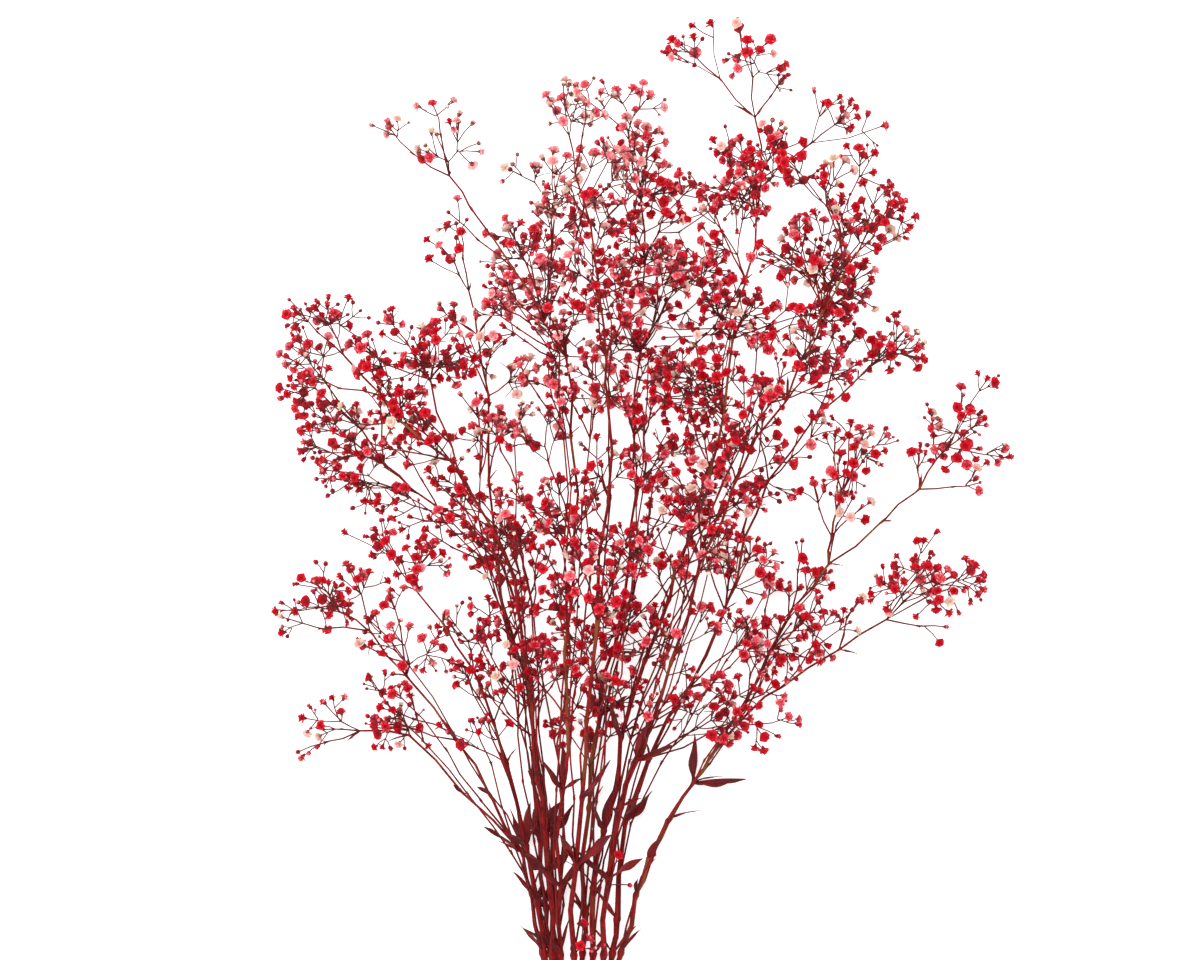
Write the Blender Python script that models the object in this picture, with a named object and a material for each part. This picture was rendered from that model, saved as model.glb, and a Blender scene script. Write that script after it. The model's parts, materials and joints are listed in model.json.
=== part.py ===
"""A bunch of dyed, dried gypsophila that lies on a surface, in twelve forking stems held by an elastic band.

The bunch lies along +Y with its cut ends towards -Y. The origin is on the surface, under the band's middle.
Sizes and places below are in millimetres, and each finished mesh is in metres.
"""

import math
import random
from collections import namedtuple

import bmesh
import bpy
import numpy as np
from mathutils import Matrix, Vector

MM = 0.001

# The band, and the stems packed in its hole: three in the middle and nine round them.
STEM_RADIUS = 1.5
SLOT = 1.65
OUTER_SLOTS = 9
INNER_SLOTS = 3
OUTER_SLOT_ANGLE = 20
PACKING = {"inner": 1.1547 * SLOT, "outer": 3.15 * SLOT}
FIT = 0.3
BAND_HOLE = PACKING["outer"] + STEM_RADIUS + FIT
BAND_THICKNESS = 1.6
BAND_TURNS = 3
BAND_TURN_WIDTH = 2.6
BAND_GROOVE = 0.5
BAND_STEPS = 22
BAND_FLAT = 0.35
BAND_AXIS_Z = BAND_HOLE + BAND_THICKNESS - BAND_FLAT
WELD = 0.001

# Below the band the stems spread a little towards their cut ends.
CUT_LENGTH = 76
CUT_STAGGER = 9
CUT_SPREAD = 1.2
GRIP = 9

# Stems and twigs. A node swells where leaves grow from it.
STEM_SIDES = 5
TWIG_SIDES = 3
STEM_TIP_RADIUS = 0.75
LIMB_RADIUS = 0.95
SWELLING = 1.35
SWELLING_REACH = 2.2
PEDICEL = 0.4
PEDICEL_GAIN = 0.11
ROOT_SHARE = 0.7

# Where twigs fork: the slope of a fork's sides, the fork's place along the way to its blooms, and the
# turn that a side twig makes off its stem.
FORK_SLOPE = 0.62
FORK_PLACE = (0.4, 0.82)
SIDE_TURN = math.radians(42)
TURN_COST = 5.0
NEAREST_FORK = 14
NEAR_COST = 4.0

# How far twigs keep from each other and from the surface, and how they look for room.
CLEAR = 0.5
OWN_CLEAR = 0.25
FLOOR_GAP = 0.3
TRIES = 60
TRY_STEP = 0.45
MOST_RODS = 4000
TOUCHING = 0.001
TINY = 1e-12

# A double bloom is a star of petals over a calyx, and a bud is a small closed ball.
BLOOM_RADIUS = 3.0
BLOOM_NOTCH = 0.6
BLOOM_PETALS = 5
BLOOM_DOME = 1.5
BLOOM_NOD = 0.35
CALYX_DEPTH = 2.3
CALYX_FOOT = 0.55
BUD_RADIUS = 1.15
BUD_SIDES = 5
BUD_LENGTH = 1.5
BUD_DEPTH = 1.2
BUD_FOOT = 0.45
BUD_SHARE = 0.25
BLOOM_SIZES = (0.86, 1.1)
BLOOM_SPACING = 7.0
SPACING_RELAX = 0.995
CROWDING = 0.25
PRESSED = 0.35
RESTING_HEIGHT = 1.2

# Narrow dried leaves in pairs at the lower nodes.
LEAF_SIDES = 4
LEAF_HALF_WIDTH = 2.1
LEAF_HALF_THICKNESS = 0.36
LEAF_STATIONS = ((0.0, 0.35), (0.22, 0.85), (0.5, 1.0), (0.78, 0.6))
LEAF_ROOM = (0.15, 0.45, 0.75, 1.0)
LEAF_STEP = 0.05
LEAF_ROOT = 0.3
LEAF_ARCH = 0.3
LEAF_LEAN = (math.radians(17), math.radians(44))
LEAF_TWIST = math.radians(100)
LEAF_TURNS = 12
LEAF_SWING = math.radians(70)

SEED = 41

Spray = namedtuple("Spray", "x y z wide tall deep blooms outermost", defaults=[()])
Node = namedtuple("Node", "point along radius")
Leaf = namedtuple("Leaf", "line side length twist")
Twig = namedtuple("Twig", "points radii base axis size is_bud")
Plan = namedtuple("Plan", "owner path radii limbs nodes leaves twigs")

# Each stem's nodes above the band, from the lowest to the top.
SPINES = {
    "stem_01": [(-18, 75, 7), (-23, 103, 9), (-27, 122, 11), (-42, 149, 14), (-58, 175, 16), (-81, 205, 19),
                (-98, 226, 22), (-112, 235, 24)],
    "stem_02": [(-17, 75, 13), (-20, 99, 18), (-25, 126, 25), (-34, 165, 36), (-40, 184, 42),
                (-49, 208, 48), (-63, 230, 54), (-76, 246, 58)],
    "stem_03": [(-14, 75, 9), (-16, 96, 11), (-19, 129, 16), (-22, 158, 20), (-24, 195, 25), (-28, 232, 30),
                (-37, 259, 33), (-55, 279, 34), (-77, 291, 33), (-91, 304, 32), (-101, 319, 32)],
    "stem_04": [(-13, 75, 16), (-15, 114, 27), (-17, 138, 34), (-20, 158, 41), (-22, 190, 52),
                (-30, 252, 72), (-40, 274, 78), (-51, 293, 82), (-59, 313, 86), (-68, 342, 90)],
    "stem_05": [(-9, 75, 19), (-9, 108, 32), (-8, 153, 50), (-6, 195, 67), (-4, 241, 85), (-3, 264, 93),
                (-4, 317, 106), (-6, 352, 110), (-16, 368, 111), (-30, 392, 112), (-49, 419, 110),
                (-59, 434, 108)],
    "stem_06": [(-11, 75, 14), (-12, 98, 18), (-13, 131, 25), (-21, 177, 35), (-31, 223, 45),
                (-38, 259, 52), (-42, 296, 58), (-42, 335, 62), (-47, 363, 64), (-51, 383, 65)],
    "stem_07": [(-3, 75, 23), (-2, 118, 41), (1, 150, 55), (3, 186, 70), (8, 232, 89), (13, 287, 110),
                (13, 330, 122), (12, 352, 127), (9, 379, 131), (5, 411, 132), (-2, 434, 130)],
    "stem_08": [(1, 75, 6), (2, 94, 7), (4, 143, 12), (9, 186, 16), (17, 223, 19), (23, 259, 22),
                (26, 291, 25), (25, 317, 27), (28, 356, 30), (30, 397, 33), (28, 426, 36)],
    "stem_09": [(6, 75, 12), (6, 106, 18), (11, 133, 23), (19, 177, 34), (30, 213, 43), (41, 241, 50),
                (50, 269, 56), (60, 301, 62), (66, 326, 67), (70, 361, 72), (76, 388, 75), (81, 418, 78),
                (83, 434, 79), (80, 462, 80)],
    "stem_10": [(11, 75, 18), (13, 111, 29), (19, 145, 41), (26, 167, 49), (32, 181, 54), (42, 213, 65),
                (55, 259, 82), (71, 296, 95), (94, 333, 106), (100, 350, 109), (110, 373, 112),
                (120, 391, 113)],
    "stem_11": [(15, 75, 9), (17, 91, 11), (21, 137, 17), (32, 167, 23), (51, 200, 29), (67, 236, 36),
                (76, 269, 41), (87, 296, 45), (109, 326, 48), (128, 343, 50)],
    "stem_12": [(19, 75, 5), (26, 102, 6), (32, 119, 7), (42, 138, 8), (53, 155, 9), (61, 167, 10),
                (77, 192, 11), (89, 217, 12), (99, 236, 13), (116, 257, 14), (141, 277, 16), (158, 292, 18),
                (166, 306, 20)],
}

# Stout side branches: the spine's node that one leaves, then its own nodes.
LIMBS = {
    "stem_01": [(2, [(-55, 150, 9), (-80, 177, 9), (-103, 179, 8)])],
    "stem_04": [(5, [(-59, 305, 76), (-82, 323, 69), (-91, 335, 66), (-108, 353, 62)])],
    "stem_12": [(5, [(79, 188, 8), (95, 200, 8), (121, 217, 8), (143, 231, 9)]),
                (9, [(117, 270, 24), (119, 282, 32), (121, 292, 37)])],
}

# The packed place of each stem in the band, as an angle in the ring of outer or inner places.
PLACES = {
    "stem_10": ("outer", 0), "stem_07": ("outer", 1), "stem_05": ("outer", 2), "stem_04": ("outer", 3),
    "stem_02": ("outer", 4), "stem_01": ("outer", 5), "stem_08": ("outer", 6), "stem_12": ("outer", 7),
    "stem_11": ("outer", 8), "stem_09": ("inner", 0), "stem_06": ("inner", 1), "stem_03": ("inner", 2),
}

# Each spray is an oval cloud of blooms: its middle, its half sizes across X, Y and Z, and its blooms.
SPRAYS = {
    "stem_01": [Spray(-124, 241, 17, 15, 9, 12, 8, ((-142, 235, 13), (-124, 249, 0))),
                Spray(-106, 253, 22, 9, 10, 10, 3),
                Spray(-77, 220, 30, 13, 12, 10, 5), Spray(-121, 188, 7, 9, 7, 5, 3, ((-130, 185, 6),)),
                Spray(-85, 184, 12, 17, 9, 8, 5)],
    "stem_02": [Spray(-93, 273, 60, 12, 13, 12, 3), Spray(-73, 262, 64, 14, 13, 13, 5),
                Spray(-50, 232, 50, 13, 11, 12, 4), Spray(-57, 204, 44, 12, 13, 12, 4),
                Spray(-55, 181, 32, 12, 11, 11, 3)],
    "stem_03": [Spray(-119, 349, 36, 13, 13, 14, 5, ((-134, 360, 34),)),
                Spray(-114, 317, 30, 14, 17, 14, 6, ((-129, 321, 28),)),
                Spray(-108, 294, 30, 7, 6, 8, 2), Spray(-36, 276, 34, 13, 13, 11, 4)],
    "stem_04": [Spray(-118, 371, 60, 13, 9, 13, 5, ((-129, 379, 58),)), Spray(-86, 328, 64, 16, 14, 12, 6),
                Spray(-88, 358, 88, 17, 14, 14, 5), Spray(-74, 308, 72, 11, 11, 11, 3),
                Spray(-54, 363, 90, 15, 18, 13, 4)],
    "stem_05": [Spray(-54, 446, 108, 15, 14, 14, 5, ((-70, 448, 106),)), Spray(-9, 420, 100, 22, 13, 13, 4),
                Spray(-23, 407, 96, 18, 14, 12, 4), Spray(-9, 365, 106, 18, 18, 14, 5),
                Spray(-22, 322, 98, 16, 17, 13, 4), Spray(-18, 276, 88, 17, 15, 12, 4),
                Spray(-9, 241, 78, 12, 12, 10, 3)],
    "stem_06": [Spray(-64, 402, 66, 15, 11, 12, 4), Spray(-37, 384, 62, 14, 14, 12, 4),
                Spray(-45, 317, 60, 16, 18, 12, 5), Spray(-28, 352, 70, 13, 12, 12, 3),
                Spray(-38, 280, 56, 14, 13, 11, 3)],
    "stem_07": [Spray(-9, 461, 130, 18, 13, 15, 5, ((-7, 474, 136),)), Spray(11, 395, 126, 22, 18, 14, 6),
                Spray(9, 338, 120, 18, 15, 12, 4), Spray(9, 301, 108, 18, 17, 13, 4),
                Spray(15, 266, 96, 20, 16, 12, 5), Spray(5, 86, 30, 11, 8, 5, 2)],
    "stem_08": [Spray(23, 457, 48, 17, 14, 15, 6), Spray(28, 430, 44, 18, 14, 14, 5),
                Spray(50, 395, 40, 20, 17, 15, 5), Spray(30, 361, 36, 22, 18, 15, 5),
                Spray(38, 308, 34, 16, 15, 13, 5, ((25, 324, 0),)), Spray(14, 232, 30, 18, 12, 11, 4),
                Spray(16, 195, 24, 16, 9, 9, 3)],
    "stem_09": [Spray(51, 491, 80, 13, 12, 14, 4, ((60, 505, 79),)),
                Spray(80, 489, 88, 12, 14, 14, 5, ((72, 506, 90), (95, 481, 88))),
                Spray(122, 465, 90, 13, 8, 10, 4, ((139, 458, 88),)), Spray(76, 450, 82, 18, 9, 10, 3),
                Spray(64, 430, 78, 18, 16, 13, 5), Spray(76, 370, 78, 20, 15, 13, 5),
                Spray(50, 340, 62, 18, 15, 12, 5), Spray(46, 278, 62, 17, 17, 12, 4),
                Spray(32, 223, 50, 17, 18, 11, 4)],
    "stem_10": [Spray(115, 432, 118, 22, 11, 13, 5), Spray(135, 416, 108, 10, 15, 13, 5, ((146, 419, 104),)),
                Spray(97, 402, 106, 22, 15, 14, 6), Spray(129, 381, 98, 13, 10, 11, 4),
                Spray(78, 331, 92, 18, 20, 14, 6), Spray(106, 363, 112, 18, 18, 13, 4),
                Spray(57, 301, 92, 18, 15, 12, 4), Spray(53, 230, 74, 12, 12, 10, 3),
                Spray(19, 117, 38, 6, 13, 6, 2)],
    "stem_11": [Spray(143, 362, 52, 12, 9, 11, 4, ((157, 358, 50),)), Spray(122, 358, 60, 12, 10, 11, 4),
                Spray(104, 315, 56, 12, 12, 11, 4), Spray(76, 257, 48, 14, 18, 11, 4),
                Spray(87, 230, 34, 13, 20, 10, 4), Spray(67, 191, 30, 20, 12, 9, 4)],
    "stem_12": [Spray(178, 319, 24, 17, 20, 17, 8, ((200, 307, 20), (188, 341, 26))),
                Spray(124, 305, 42, 16, 18, 15, 7, ((142, 317, 42),)),
                Spray(160, 246, 14, 22, 14, 13, 8, ((188, 252, 14), (158, 254, 0))),
                Spray(115, 220, 16, 14, 17, 11, 5)],
}

# Leaf pairs: the spine's node that one leaves, and the leaf's length.
LEAF_PAIRS = {
    "stem_01": [(2, 21)], "stem_02": [(2, 17)], "stem_03": [(1, 15), (2, 18)], "stem_04": [(1, 16)],
    "stem_05": [(1, 17), (2, 20)], "stem_06": [(2, 15)], "stem_07": [(1, 22), (2, 18)],
    "stem_08": [(1, 16), (3, 14)], "stem_09": [(2, 20), (3, 15)], "stem_10": [(1, 18), (3, 17)],
    "stem_11": [(2, 18)], "stem_12": [(2, 17), (4, 20)],
}

STEM_COLOUR = (0.33, 0.03, 0.035, 1)
STEM_ROUGHNESS = 0.6
BAND_COLOUR = (0.62, 0.42, 0.24, 1)
BAND_ROUGHNESS = 0.55
SHARP_ANGLE = math.radians(35)


class Room:
    """What already stands, as round-ended rods, so that a new twig bends clear of the other stems."""

    def __init__(self):
        self.starts = np.zeros((MOST_RODS, 3))
        self.runs = np.zeros((MOST_RODS, 3))
        self.radii = np.zeros(MOST_RODS)
        self.owners = np.zeros(MOST_RODS, int)
        self.count = 0

    def take(self, owner, start, end, radius):
        """Fills one rod from start to end."""
        n = self.count
        self.starts[n] = start
        self.runs[n] = end - start
        self.radii[n] = radius
        self.owners[n] = owner
        self.count += 1

    def take_path(self, owner, path, radii):
        """Fills the rods of a bent tube."""
        for start, end, radius in zip(path, path[1:], radii):
            self.take(owner, start, end, radius)

    def other_gap(self, owner, start, end, radius):
        """The least space between a new rod and every rod of the other stems."""
        return self.gap(self.owners[: self.count] != owner, start, end, radius)

    def own_gap(self, owner, start, end, radius):
        """The least space between a new rod and its own stem's rods, but for those that it grows from."""
        starts = self.starts[: self.count]
        ends = starts + self.runs[: self.count]
        root = np.array(start)
        apart = np.minimum(abs(starts - root).sum(1), abs(ends - root).sum(1)) > TOUCHING
        return self.gap((self.owners[: self.count] == owner) & apart, start, end, radius)

    def gap(self, chosen, start, end, radius):
        """The least space between a new rod and the chosen ones, from the nearest points of each pair."""
        chosen = np.flatnonzero(chosen)
        if not len(chosen):
            return math.inf
        run, starts, runs = np.array(end - start), self.starts[chosen], self.runs[chosen]
        offset = np.array(start) - starts
        long_new = max(run @ run, TINY)
        long_old = np.maximum((runs * runs).sum(1), TINY)
        cross, new_off, old_off = runs @ run, offset @ run, (runs * offset).sum(1)
        skew = np.maximum(long_new * long_old - cross * cross, TINY)
        on_new = np.clip((cross * old_off - new_off * long_old) / skew, 0, 1)
        on_old = np.clip((cross * on_new + old_off) / long_old, 0, 1)
        on_new = np.clip((cross * on_old - new_off) / long_new, 0, 1)
        between = offset + on_new[:, None] * run - on_old[:, None] * runs
        return float((np.sqrt((between * between).sum(1)) - self.radii[chosen]).min()) - radius


def middle(points):
    return sum(points, Vector()) / len(points)


def twig_radius(tips):
    """A twig is stouter the more blooms it carries."""
    return PEDICEL + PEDICEL_GAIN * math.sqrt(tips)


def any_way(draw):
    """A direction drawn evenly from the ball."""
    return Vector((draw.gauss(0, 1), draw.gauss(0, 1), draw.gauss(0, 1))).normalized()


def stem_path(name):
    """The whole spine, from the cut end through the band to the top."""
    ring, number = PLACES[name]
    if ring == "outer":
        turn = math.radians(OUTER_SLOT_ANGLE + 360 * number / OUTER_SLOTS)
    else:
        turn = math.radians(360 * number / INNER_SLOTS)
    x, z = PACKING[ring] * math.cos(turn), PACKING[ring] * math.sin(turn)
    stagger = random.Random(f"{SEED} cut {name}").uniform(-CUT_STAGGER, CUT_STAGGER)
    cut = Vector((x * CUT_SPREAD, stagger - CUT_LENGTH, BAND_AXIS_Z + z * CUT_SPREAD))
    grip = [Vector((x, y, BAND_AXIS_Z + z)) for y in (-GRIP, GRIP)]
    return [cut, *grip, *map(Vector, SPINES[name])]


def limb_paths(name):
    """The stout side branches of a stem, each from the node that it leaves."""
    return [[Vector(SPINES[name][at]), *map(Vector, nodes)] for at, nodes in LIMBS.get(name, [])]


def tapered(count, first, last):
    return [first + (last - first) * n / (count - 1) for n in range(count)]


def nodes_of(path, radii):
    """The places on a stem or limb that twigs can leave."""
    found = []
    for n in range(1, len(path)):
        after = path[min(n + 1, len(path) - 1)]
        found.append(Node(path[n], (after - path[n - 1]).normalized(), radii[n]))
    return found


def turned(frame, axis):
    """The frame with its third axis turned, by the least angle, to point along axis."""
    return frame.col[2].rotation_difference(axis).to_matrix() @ frame


def frames_along(path, base):
    """At each point of a path, a frame whose third axis follows it, turned as little as can be from base."""
    frames, frame = [], base
    for n in range(len(path)):
        before, after = path[max(n - 1, 0)], path[min(n + 1, len(path) - 1)]
        frame = turned(frame, (after - before).normalized())
        frames.append(frame)
    return frames


def leaving_node(nodes, aim):
    """The node that a side twig to aim leaves: a near one, off which it turns by a small angle."""

    def cost(node):
        run = aim - node.point
        over = max(run.angle(node.along) - SIDE_TURN, 0)
        near = max(NEAREST_FORK - run.length, 0)
        return run.length * (1 + TURN_COST * over * over) + NEAR_COST * near

    return min(nodes, key=cost)


def bloom_places(spray, draw):
    """Points in the spray's oval, no two of them closer than a bloom and a gap."""
    places = [Vector(point) for point in spray.outermost]
    spacing = BLOOM_SPACING
    while len(places) < spray.blooms:
        reach = draw.random() ** CROWDING
        way = any_way(draw) * reach
        place = Vector((way.x * spray.wide, way.y * spray.tall, way.z * spray.deep))
        place += Vector((spray.x, spray.y, spray.z))
        if all((place - other).length > spacing for other in places):
            places.append(place)
        spacing *= SPACING_RELAX
    return places


def parted(tips, along):
    """The tips in two or three groups, side by side across the way that the twig grows."""
    if len(tips) <= 3:
        return [[tip] for tip in tips]
    offsets = np.array([tip - middle(tips) for tip in tips])
    offsets -= np.outer(offsets @ np.array(along), np.array(along))
    across = np.linalg.eigh(offsets.T @ offsets)[1][:, -1]
    across *= np.sign(across[abs(across).argmax()])
    order = sorted(range(len(tips)), key=lambda n: float(offsets[n] @ across))
    side = (len(tips) + 1) // 3
    cuts = (0, side, len(tips) - side, len(tips))
    return [[tips[n] for n in order[cuts[k]: cuts[k + 1]]] for k in range(3)]


def settle(room, owner, start, aim, radius, lowest, draw, end_radius=0.0):
    """The first point near aim that a twig from start reaches clear of all that stands.

    Where there is none, the twig may cross its own stem's twigs, but no other stem. None means no room.
    """
    crossing = None
    for attempt in range(TRIES):
        end = aim + any_way(draw) * (attempt * TRY_STEP)
        end.z = max(end.z, lowest)
        rods = ((start, end, radius), (end, end, max(end_radius, radius)))
        if min(room.other_gap(owner, *rod) for rod in rods) < CLEAR:
            continue
        if min(room.own_gap(owner, *rod) for rod in rods) > OWN_CLEAR:
            return end
        crossing = crossing or end
    return crossing


def grow_tip(room, owner, twig, tip, draw):
    """Ends a twig in one bloom or bud. A tip given at no height is a bloom that the bunch rests on."""
    here, rests = twig.points[-1], tip.z == 0
    size = draw.uniform(*BLOOM_SIZES)
    is_bud = draw.random() < BUD_SHARE and not rests
    reach = (BUD_RADIUS if is_bud else BLOOM_RADIUS) * size
    radius = twig_radius(1)
    lowest = RESTING_HEIGHT if rests else reach - PRESSED
    end = settle(room, owner, here, tip, radius, lowest, draw, reach)
    if end is None:
        return []
    room.take(owner, here, end, radius)
    room.take(owner, end, end, reach)
    axis = ((end - here).normalized() + any_way(draw) * BLOOM_NOD).normalized()
    return [Twig([*twig.points, end], [*twig.radii, radius], twig.base, axis, size, is_bud)]


def grow(room, owner, twig, tips, draw):
    """Forks from the end of a twig to every tip, in threes and pairs, and gives the finished twigs."""
    if len(tips) == 1:
        return grow_tip(room, owner, twig, tips[0], draw)
    here, centre = twig.points[-1], middle(tips)
    along = (centre - here).normalized()
    groups = parted(tips, along)
    reach = (centre - here).length
    aside = [middle(group) - centre for group in groups]
    spread = max((side - along * side.dot(along)).length for side in aside)
    run = min(max(reach - spread / FORK_SLOPE, reach * FORK_PLACE[0]), reach * FORK_PLACE[1])
    radius = twig_radius(len(tips))
    knee = settle(room, owner, here, here + along * run, radius, radius + FLOOR_GAP, draw)
    if knee is None:
        return []
    room.take(owner, here, knee, radius)
    leader = twig._replace(points=[*twig.points, knee], radii=[*twig.radii, radius])
    frame = frames_along(leader.points, leader.base)[-1]
    side = Twig([knee], [radius * ROOT_SHARE], frame, None, 0, False)
    grown = []
    groups.sort(key=lambda group: -(middle(group) - knee).normalized().dot(along))
    for group in groups:
        grown += grow(room, owner, side if grown else leader, group, draw)
    return grown


def grow_spray(room, owner, nodes, spray, draw):
    """The twigs of one spray, from the node that it leaves."""
    root = leaving_node(nodes, Vector((spray.x, spray.y, spray.z)))
    radius = min(twig_radius(spray.blooms), root.radius * ROOT_SHARE)
    stub = Twig([root.point], [radius], Matrix.Identity(3), None, 0, False)
    return grow(room, owner, stub, bloom_places(spray, draw), draw)


def leaf_line(node, length, turn, lean):
    """The arched midrib of a leaf, by the share of its length, and the side that it leans to."""
    side = node.along.orthogonal().normalized()
    side.rotate(Matrix.Rotation(turn, 3, node.along))
    way = node.along * math.cos(lean) + side * math.sin(lean)
    start = node.point + way * (node.radius * LEAF_ROOT)
    return lambda share: start + (way * share + side * (LEAF_ARCH * share * share)) * length, side


def grow_leaf(room, owner, node, length, turn, draw):
    """A leaf in the freest direction near turn, or None where there is no room."""
    best, most = None, CLEAR
    for attempt in range(LEAF_TURNS):
        swing = draw.uniform(-LEAF_SWING, LEAF_SWING) * attempt / LEAF_TURNS
        line, side = leaf_line(node, length, turn + swing, draw.uniform(*LEAF_LEAN))
        stations = [line(share) for share in LEAF_ROOM]
        if min(point.z for point in stations) < LEAF_HALF_WIDTH:
            continue
        gap = min(room.other_gap(owner, a, b, LEAF_HALF_WIDTH) for a, b in zip(stations, stations[1:]))
        if gap > most:
            best, most = (line, side, stations), gap
    if best is None:
        return None
    line, side, stations = best
    room.take_path(owner, stations, [LEAF_HALF_WIDTH] * len(stations))
    return Leaf(line, side, length, draw.uniform(-LEAF_TWIST, LEAF_TWIST))


def ring(bm, centre, frame, radii):
    """A closed ring of vertices round centre, in the frame's first two axes, with a radius for each vertex.

    A radius can be a pair, for a ring that is wider one way than the other.
    """
    verts = bmesh.ops.create_circle(bm, cap_ends=False, segments=len(radii), radius=1)["verts"]
    for vertex, radius in zip(verts, radii):
        across, over = radius if isinstance(radius, tuple) else (radius, radius)
        vertex.co = (centre + frame @ Vector((vertex.co.x * across, vertex.co.y * over, 0))) * MM
    return verts, [edge for edge in bm.edges if edge.verts[0] in verts]


def loft(name, rings, point_offset=0, is_blade=False):
    """A closed solid through the rings. Its first end is flat, and its last one can be drawn out to a point.

    A blade's faces are split along their shorter diagonals, which are alike on its two sides.
    """
    bm = bmesh.new()
    made = [ring(bm, *each) for each in rings]
    for (_, lower), (_, upper) in zip(made, made[1:]):
        bmesh.ops.bridge_loops(bm, edges=lower + upper)
    bmesh.ops.contextual_create(bm, geom=made[0][0])
    cap = bmesh.ops.contextual_create(bm, geom=made[-1][0])["faces"]
    bmesh.ops.recalc_face_normals(bm, faces=bm.faces)
    if point_offset:
        bmesh.ops.poke(bm, faces=cap, offset=point_offset * MM)
    if is_blade:
        bmesh.ops.triangulate(bm, faces=bm.faces, quad_method="SHORT_EDGE")
    for vertex in bm.verts:
        vertex.co.z = max(vertex.co.z, 0)
    mesh = bpy.data.meshes.new(name)
    bm.to_mesh(mesh)
    bm.free()
    return bpy.data.objects.new(name, mesh)


def tube_rings(path, radii, base, sides):
    return [
        (point, frame, [radius] * sides)
        for point, frame, radius in zip(path, frames_along(path, base), radii)
    ]


def twig_solid(name, twig):
    """A thin twig that ends in a star of petals over a calyx, or in a round bud."""
    rings = tube_rings(twig.points, twig.radii, twig.base, TWIG_SIDES)
    end, along = rings[-1][:2]
    if twig.is_bud:
        depth, foot, dome = BUD_DEPTH, BUD_FOOT, BUD_LENGTH
        rim = [BUD_RADIUS * twig.size] * BUD_SIDES
    else:
        depth, foot, dome = CALYX_DEPTH, CALYX_FOOT, BLOOM_DOME
        rim = [BLOOM_RADIUS * twig.size, BLOOM_RADIUS * BLOOM_NOTCH * twig.size] * BLOOM_PETALS
    rings[-1] = (end - along.col[2] * (depth * twig.size), along, [foot] * TWIG_SIDES)
    rings.append((end, turned(along, twig.axis), rim))
    return loft(name, rings, dome * twig.size)


def leaf_solid(name, leaf):
    """A narrow, twisted blade, thickest at its rib, that tapers to a point."""
    rings = []
    for share, width in LEAF_STATIONS:
        point = leaf.line(share)
        way = (leaf.line(share + LEAF_STEP) - point).normalized()
        over = way.cross(leaf.side).cross(way).normalized()
        over.rotate(Matrix.Rotation(leaf.twist * share, 3, way))
        frame = Matrix((way.cross(over), over, way)).transposed()
        rings.append((point, frame, [(LEAF_HALF_WIDTH * width, LEAF_HALF_THICKNESS)] * LEAF_SIDES))
    return loft(name, rings, leaf.length * (1 - LEAF_STATIONS[-1][0]), is_blade=True)


def stem_rings(path, radii, swollen):
    """The spine's rings, with a swelling at each leaf node."""
    rings, frames = [], frames_along(path, Matrix.Identity(3))
    for n, (point, radius) in enumerate(zip(path, radii)):
        if n not in swollen:
            rings.append((point, frames[n], [radius] * STEM_SIDES))
            continue
        for shift, share in ((-SWELLING_REACH, 1), (0, SWELLING), (SWELLING_REACH, 1)):
            toward = path[n + 1] if shift > 0 else path[n - 1]
            place = point + (toward - point).normalized() * abs(shift)
            rings.append((place, frames[n], [radius * share] * STEM_SIDES))
    return rings


def largest_body(mesh):
    """Leaves only the biggest connected body of a mesh, so a scrap goes and a sealed pocket is filled."""
    bm = bmesh.new()
    bm.from_mesh(mesh)
    left, bodies = set(bm.verts), []
    while left:
        stack = [left.pop()]
        body = set(stack)
        while stack:
            for edge in stack.pop().link_edges:
                for vertex in edge.verts:
                    if vertex in left:
                        left.remove(vertex)
                        body.add(vertex)
                        stack.append(vertex)
        bodies.append(body)
    bodies.sort(key=len)
    for body in bodies[:-1]:
        bmesh.ops.delete(bm, geom=list(body), context="VERTS")
    bm.to_mesh(mesh)
    bm.free()


def touches_itself(mesh):
    """Whether an edge of the welded mesh has other than two faces."""
    bm = bmesh.new()
    bm.from_mesh(mesh)
    bmesh.ops.remove_doubles(bm, verts=bm.verts, dist=WELD * MM)
    touches = any(len(edge.link_faces) != 2 for edge in bm.edges)
    bm.free()
    return touches


def finished(name, mesh, material):
    """An object with the mesh, smooth but for its sharp edges."""
    mesh.name = name
    mesh.materials.clear()
    mesh.materials.append(material)
    mesh.shade_smooth()
    mesh.set_sharp_from_angle(angle=SHARP_ANGLE)
    made = bpy.data.objects.new(name, mesh)
    bpy.context.scene.collection.objects.link(made)
    return made


def fused(name, solids, material):
    """One object that joins the solids, by the second solver where the first's result touches itself."""
    base = solids[0]
    joined = bpy.data.collections.new(name + "_pieces")
    bpy.context.scene.collection.objects.link(base)
    bpy.context.scene.collection.children.link(joined)
    for solid in solids[1:]:
        joined.objects.link(solid)
    union = base.modifiers.new("union", "BOOLEAN")
    union.operation = "UNION"
    union.operand_type = "COLLECTION"
    union.collection = joined
    for solver in ("EXACT", "MANIFOLD"):
        union.solver = solver
        graph = bpy.context.evaluated_depsgraph_get()
        mesh = bpy.data.meshes.new_from_object(base.evaluated_get(graph))
        if not touches_itself(mesh):
            break
    for solid in solids:
        bpy.data.objects.remove(solid)
    bpy.data.collections.remove(joined)
    largest_body(mesh)
    return finished(name, mesh, material)


def principled(name, colour, roughness):
    material = bpy.data.materials.new(name)
    material.use_nodes = True
    shader = material.node_tree.nodes["Principled BSDF"]
    shader.inputs["Base Color"].default_value = colour
    shader.inputs["Roughness"].default_value = roughness
    shader.inputs["Metallic"].default_value = 0
    material.diffuse_color = colour
    return material


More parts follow.
